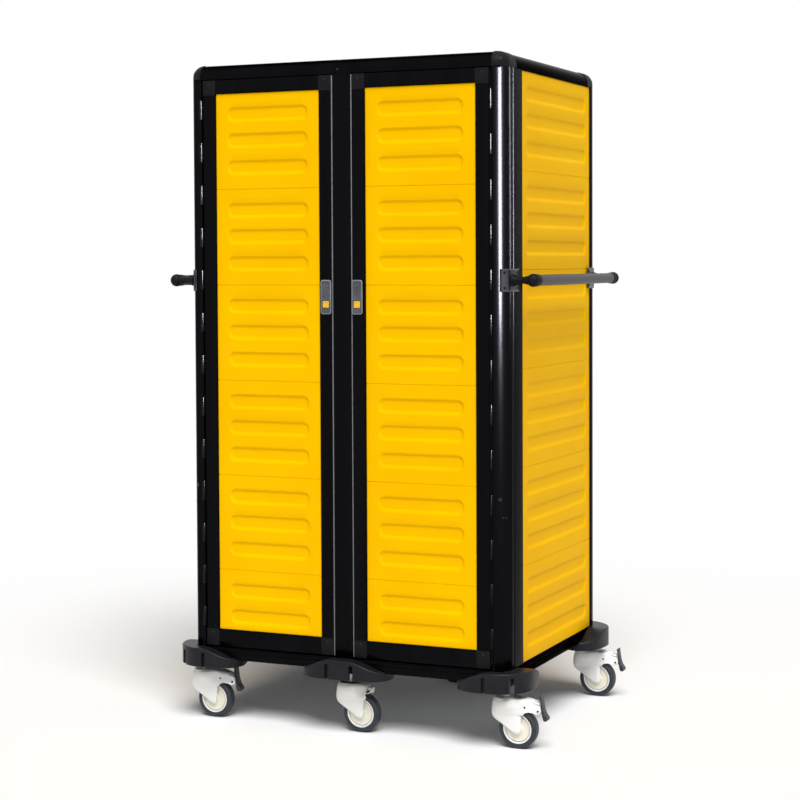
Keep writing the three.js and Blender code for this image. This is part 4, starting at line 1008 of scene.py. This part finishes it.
# white paper: it takes the cart's soft shadow and fades to plain white further out
floorPaper = bpy.data.materials.new("white paper sweep")
tree = emptyTree(floorPaper)
place = addNode(tree, "ShaderNodeTexCoord").outputs["Object"]
far = addNode(tree, "ShaderNodeVectorMath", {"operation": "LENGTH"}, {0: place}).outputs["Value"]
fadeSettings = {"interpolation_type": "SMOOTHSTEP", "From Min": studio["fadeStart"],
                "From Max": studio["fadeEnd"]}
fade = addNode(tree, "ShaderNodeMapRange", fadeSettings, {"Value": far}).outputs[0]
white = addNode(tree, "ShaderNodeEmission", {"Color": (1, 1, 1, 1), "Strength": 1.0}).outputs[0]
paper = addNode(tree, "ShaderNodeBsdfDiffuse", {"Color": (studio["paper"],) * 3 + (1,)}).outputs[0]
sweep = addNode(tree, "ShaderNodeMixShader", links={0: fade, 1: paper, 2: white}).outputs[0]
plain = addNode(tree, "ShaderNodeBsdfDiffuse", {"Color": (studio["bounce"],) * 3 + (1,)}).outputs[0]
choice = addNode(tree, "ShaderNodeMixShader", links={0: whiteRays(tree), 1: plain, 2: sweep}).outputs[0]
addNode(tree, "ShaderNodeOutputMaterial", links={"Surface": choice})
floorMesh.materials.append(floorPaper)

world = bpy.data.worlds.new("studio")
scene.world = world
tree = emptyTree(world)
soft, white = (addNode(tree, "ShaderNodeBackground", {"Color": (1, 1, 1, 1), "Strength": strength}).outputs[0]
               for strength in (studio["ambient"], 1.0))
choice = addNode(tree, "ShaderNodeMixShader", links={0: whiteRays(tree), 1: soft, 2: white}).outputs[0]
addNode(tree, "ShaderNodeOutputWorld", links={"Surface": choice})


# a lamp at a place, turned towards a target, with the settings of its kind
def addLamp(name, kind, place, target, settings):
    data = bpy.data.lights.new(name, kind)
    for key, value in settings.items():
        setattr(data, key, value)
    lamp = bpy.data.objects.new(name, data)
    lamp.location = place
    lamp.rotation_euler = (Vector(target) - Vector(place)).to_track_quat("-Z", "Y").to_euler()
    scene.collection.objects.link(lamp)
    return lamp


# the main light is very broad and comes from above the front right, so the shadow under the cart stays soft
addLamp("broad_key", "SUN", (1.2, -1.9, 3.4), (0, 0, 0), {"energy": 3.35, "angle": np.radians(36)})
# two tall boxes whose reflections run down the rounded front posts; only the pieces beside these catch them
# too
posts = bpy.data.collections.new("front_posts")
glints = bpy.data.collections.new("front_glints")
for side in sides:
    posts.objects.link(bpy.data.objects[f"{side}_front_post_profile"])
    for piece in ("front_post_profile", "hinge_knuckles"):
        glints.objects.link(bpy.data.objects[f"{side}_{piece}"])
tallBoxes = [("tall_box", (2.14, -2.07, 1.95), (0.38, -0.28, 1.7), 0.7, 1550, glints),
             ("side_box", (2.05, 1.58, 2.0), (0.38, -0.28, 1.75), 0.3, 230, posts)]
for name, place, target, width, energy, lit in tallBoxes:
    box = addLamp(name, "AREA", place, target, {"shape": "RECTANGLE", "size": width, "size_y": 1.8,
                                                "energy": energy})
    box.light_linking.receiver_collection = lit
    box.visible_camera = False

view = {"place": (1.86607, -4.16182, 1.06615), "lens": 85.75, "shiftX": -0.00845, "shiftY": -0.0841,
        "yaw": 0.41724, "pitch": 0.037192, "roll": -0.0042703}
yaw, pitch, roll = view["yaw"], view["pitch"], view["roll"]
level = np.array([np.cos(yaw), np.sin(yaw), 0])
ahead = np.array([-np.sin(yaw), np.cos(yaw), 0])
zenith = np.array([0, 0, 1.0])
aim = ahead * np.cos(pitch) - zenith * np.sin(pitch)
tall = zenith * np.cos(pitch) + ahead * np.sin(pitch)
rightward = level * np.cos(roll) + tall * np.sin(roll)
upward = -level * np.sin(roll) + tall * np.cos(roll)
camera = bpy.data.objects.new("camera", bpy.data.cameras.new("camera"))
camera.data.sensor_width = 36
camera.data.lens = view["lens"]
camera.data.shift_x, camera.data.shift_y = view["shiftX"], view["shiftY"]
camera.data.clip_end = 200
cameraAxes = np.stack([rightward, upward, -aim], 1)
camera.matrix_world = Matrix([[*row, p] for row, p in zip(cameraAxes, view["place"])] + [[0, 0, 0, 1]])
scene.collection.objects.link(camera)
scene.camera = camera
scene.view_settings.view_transform = "Standard"

print("scene made")
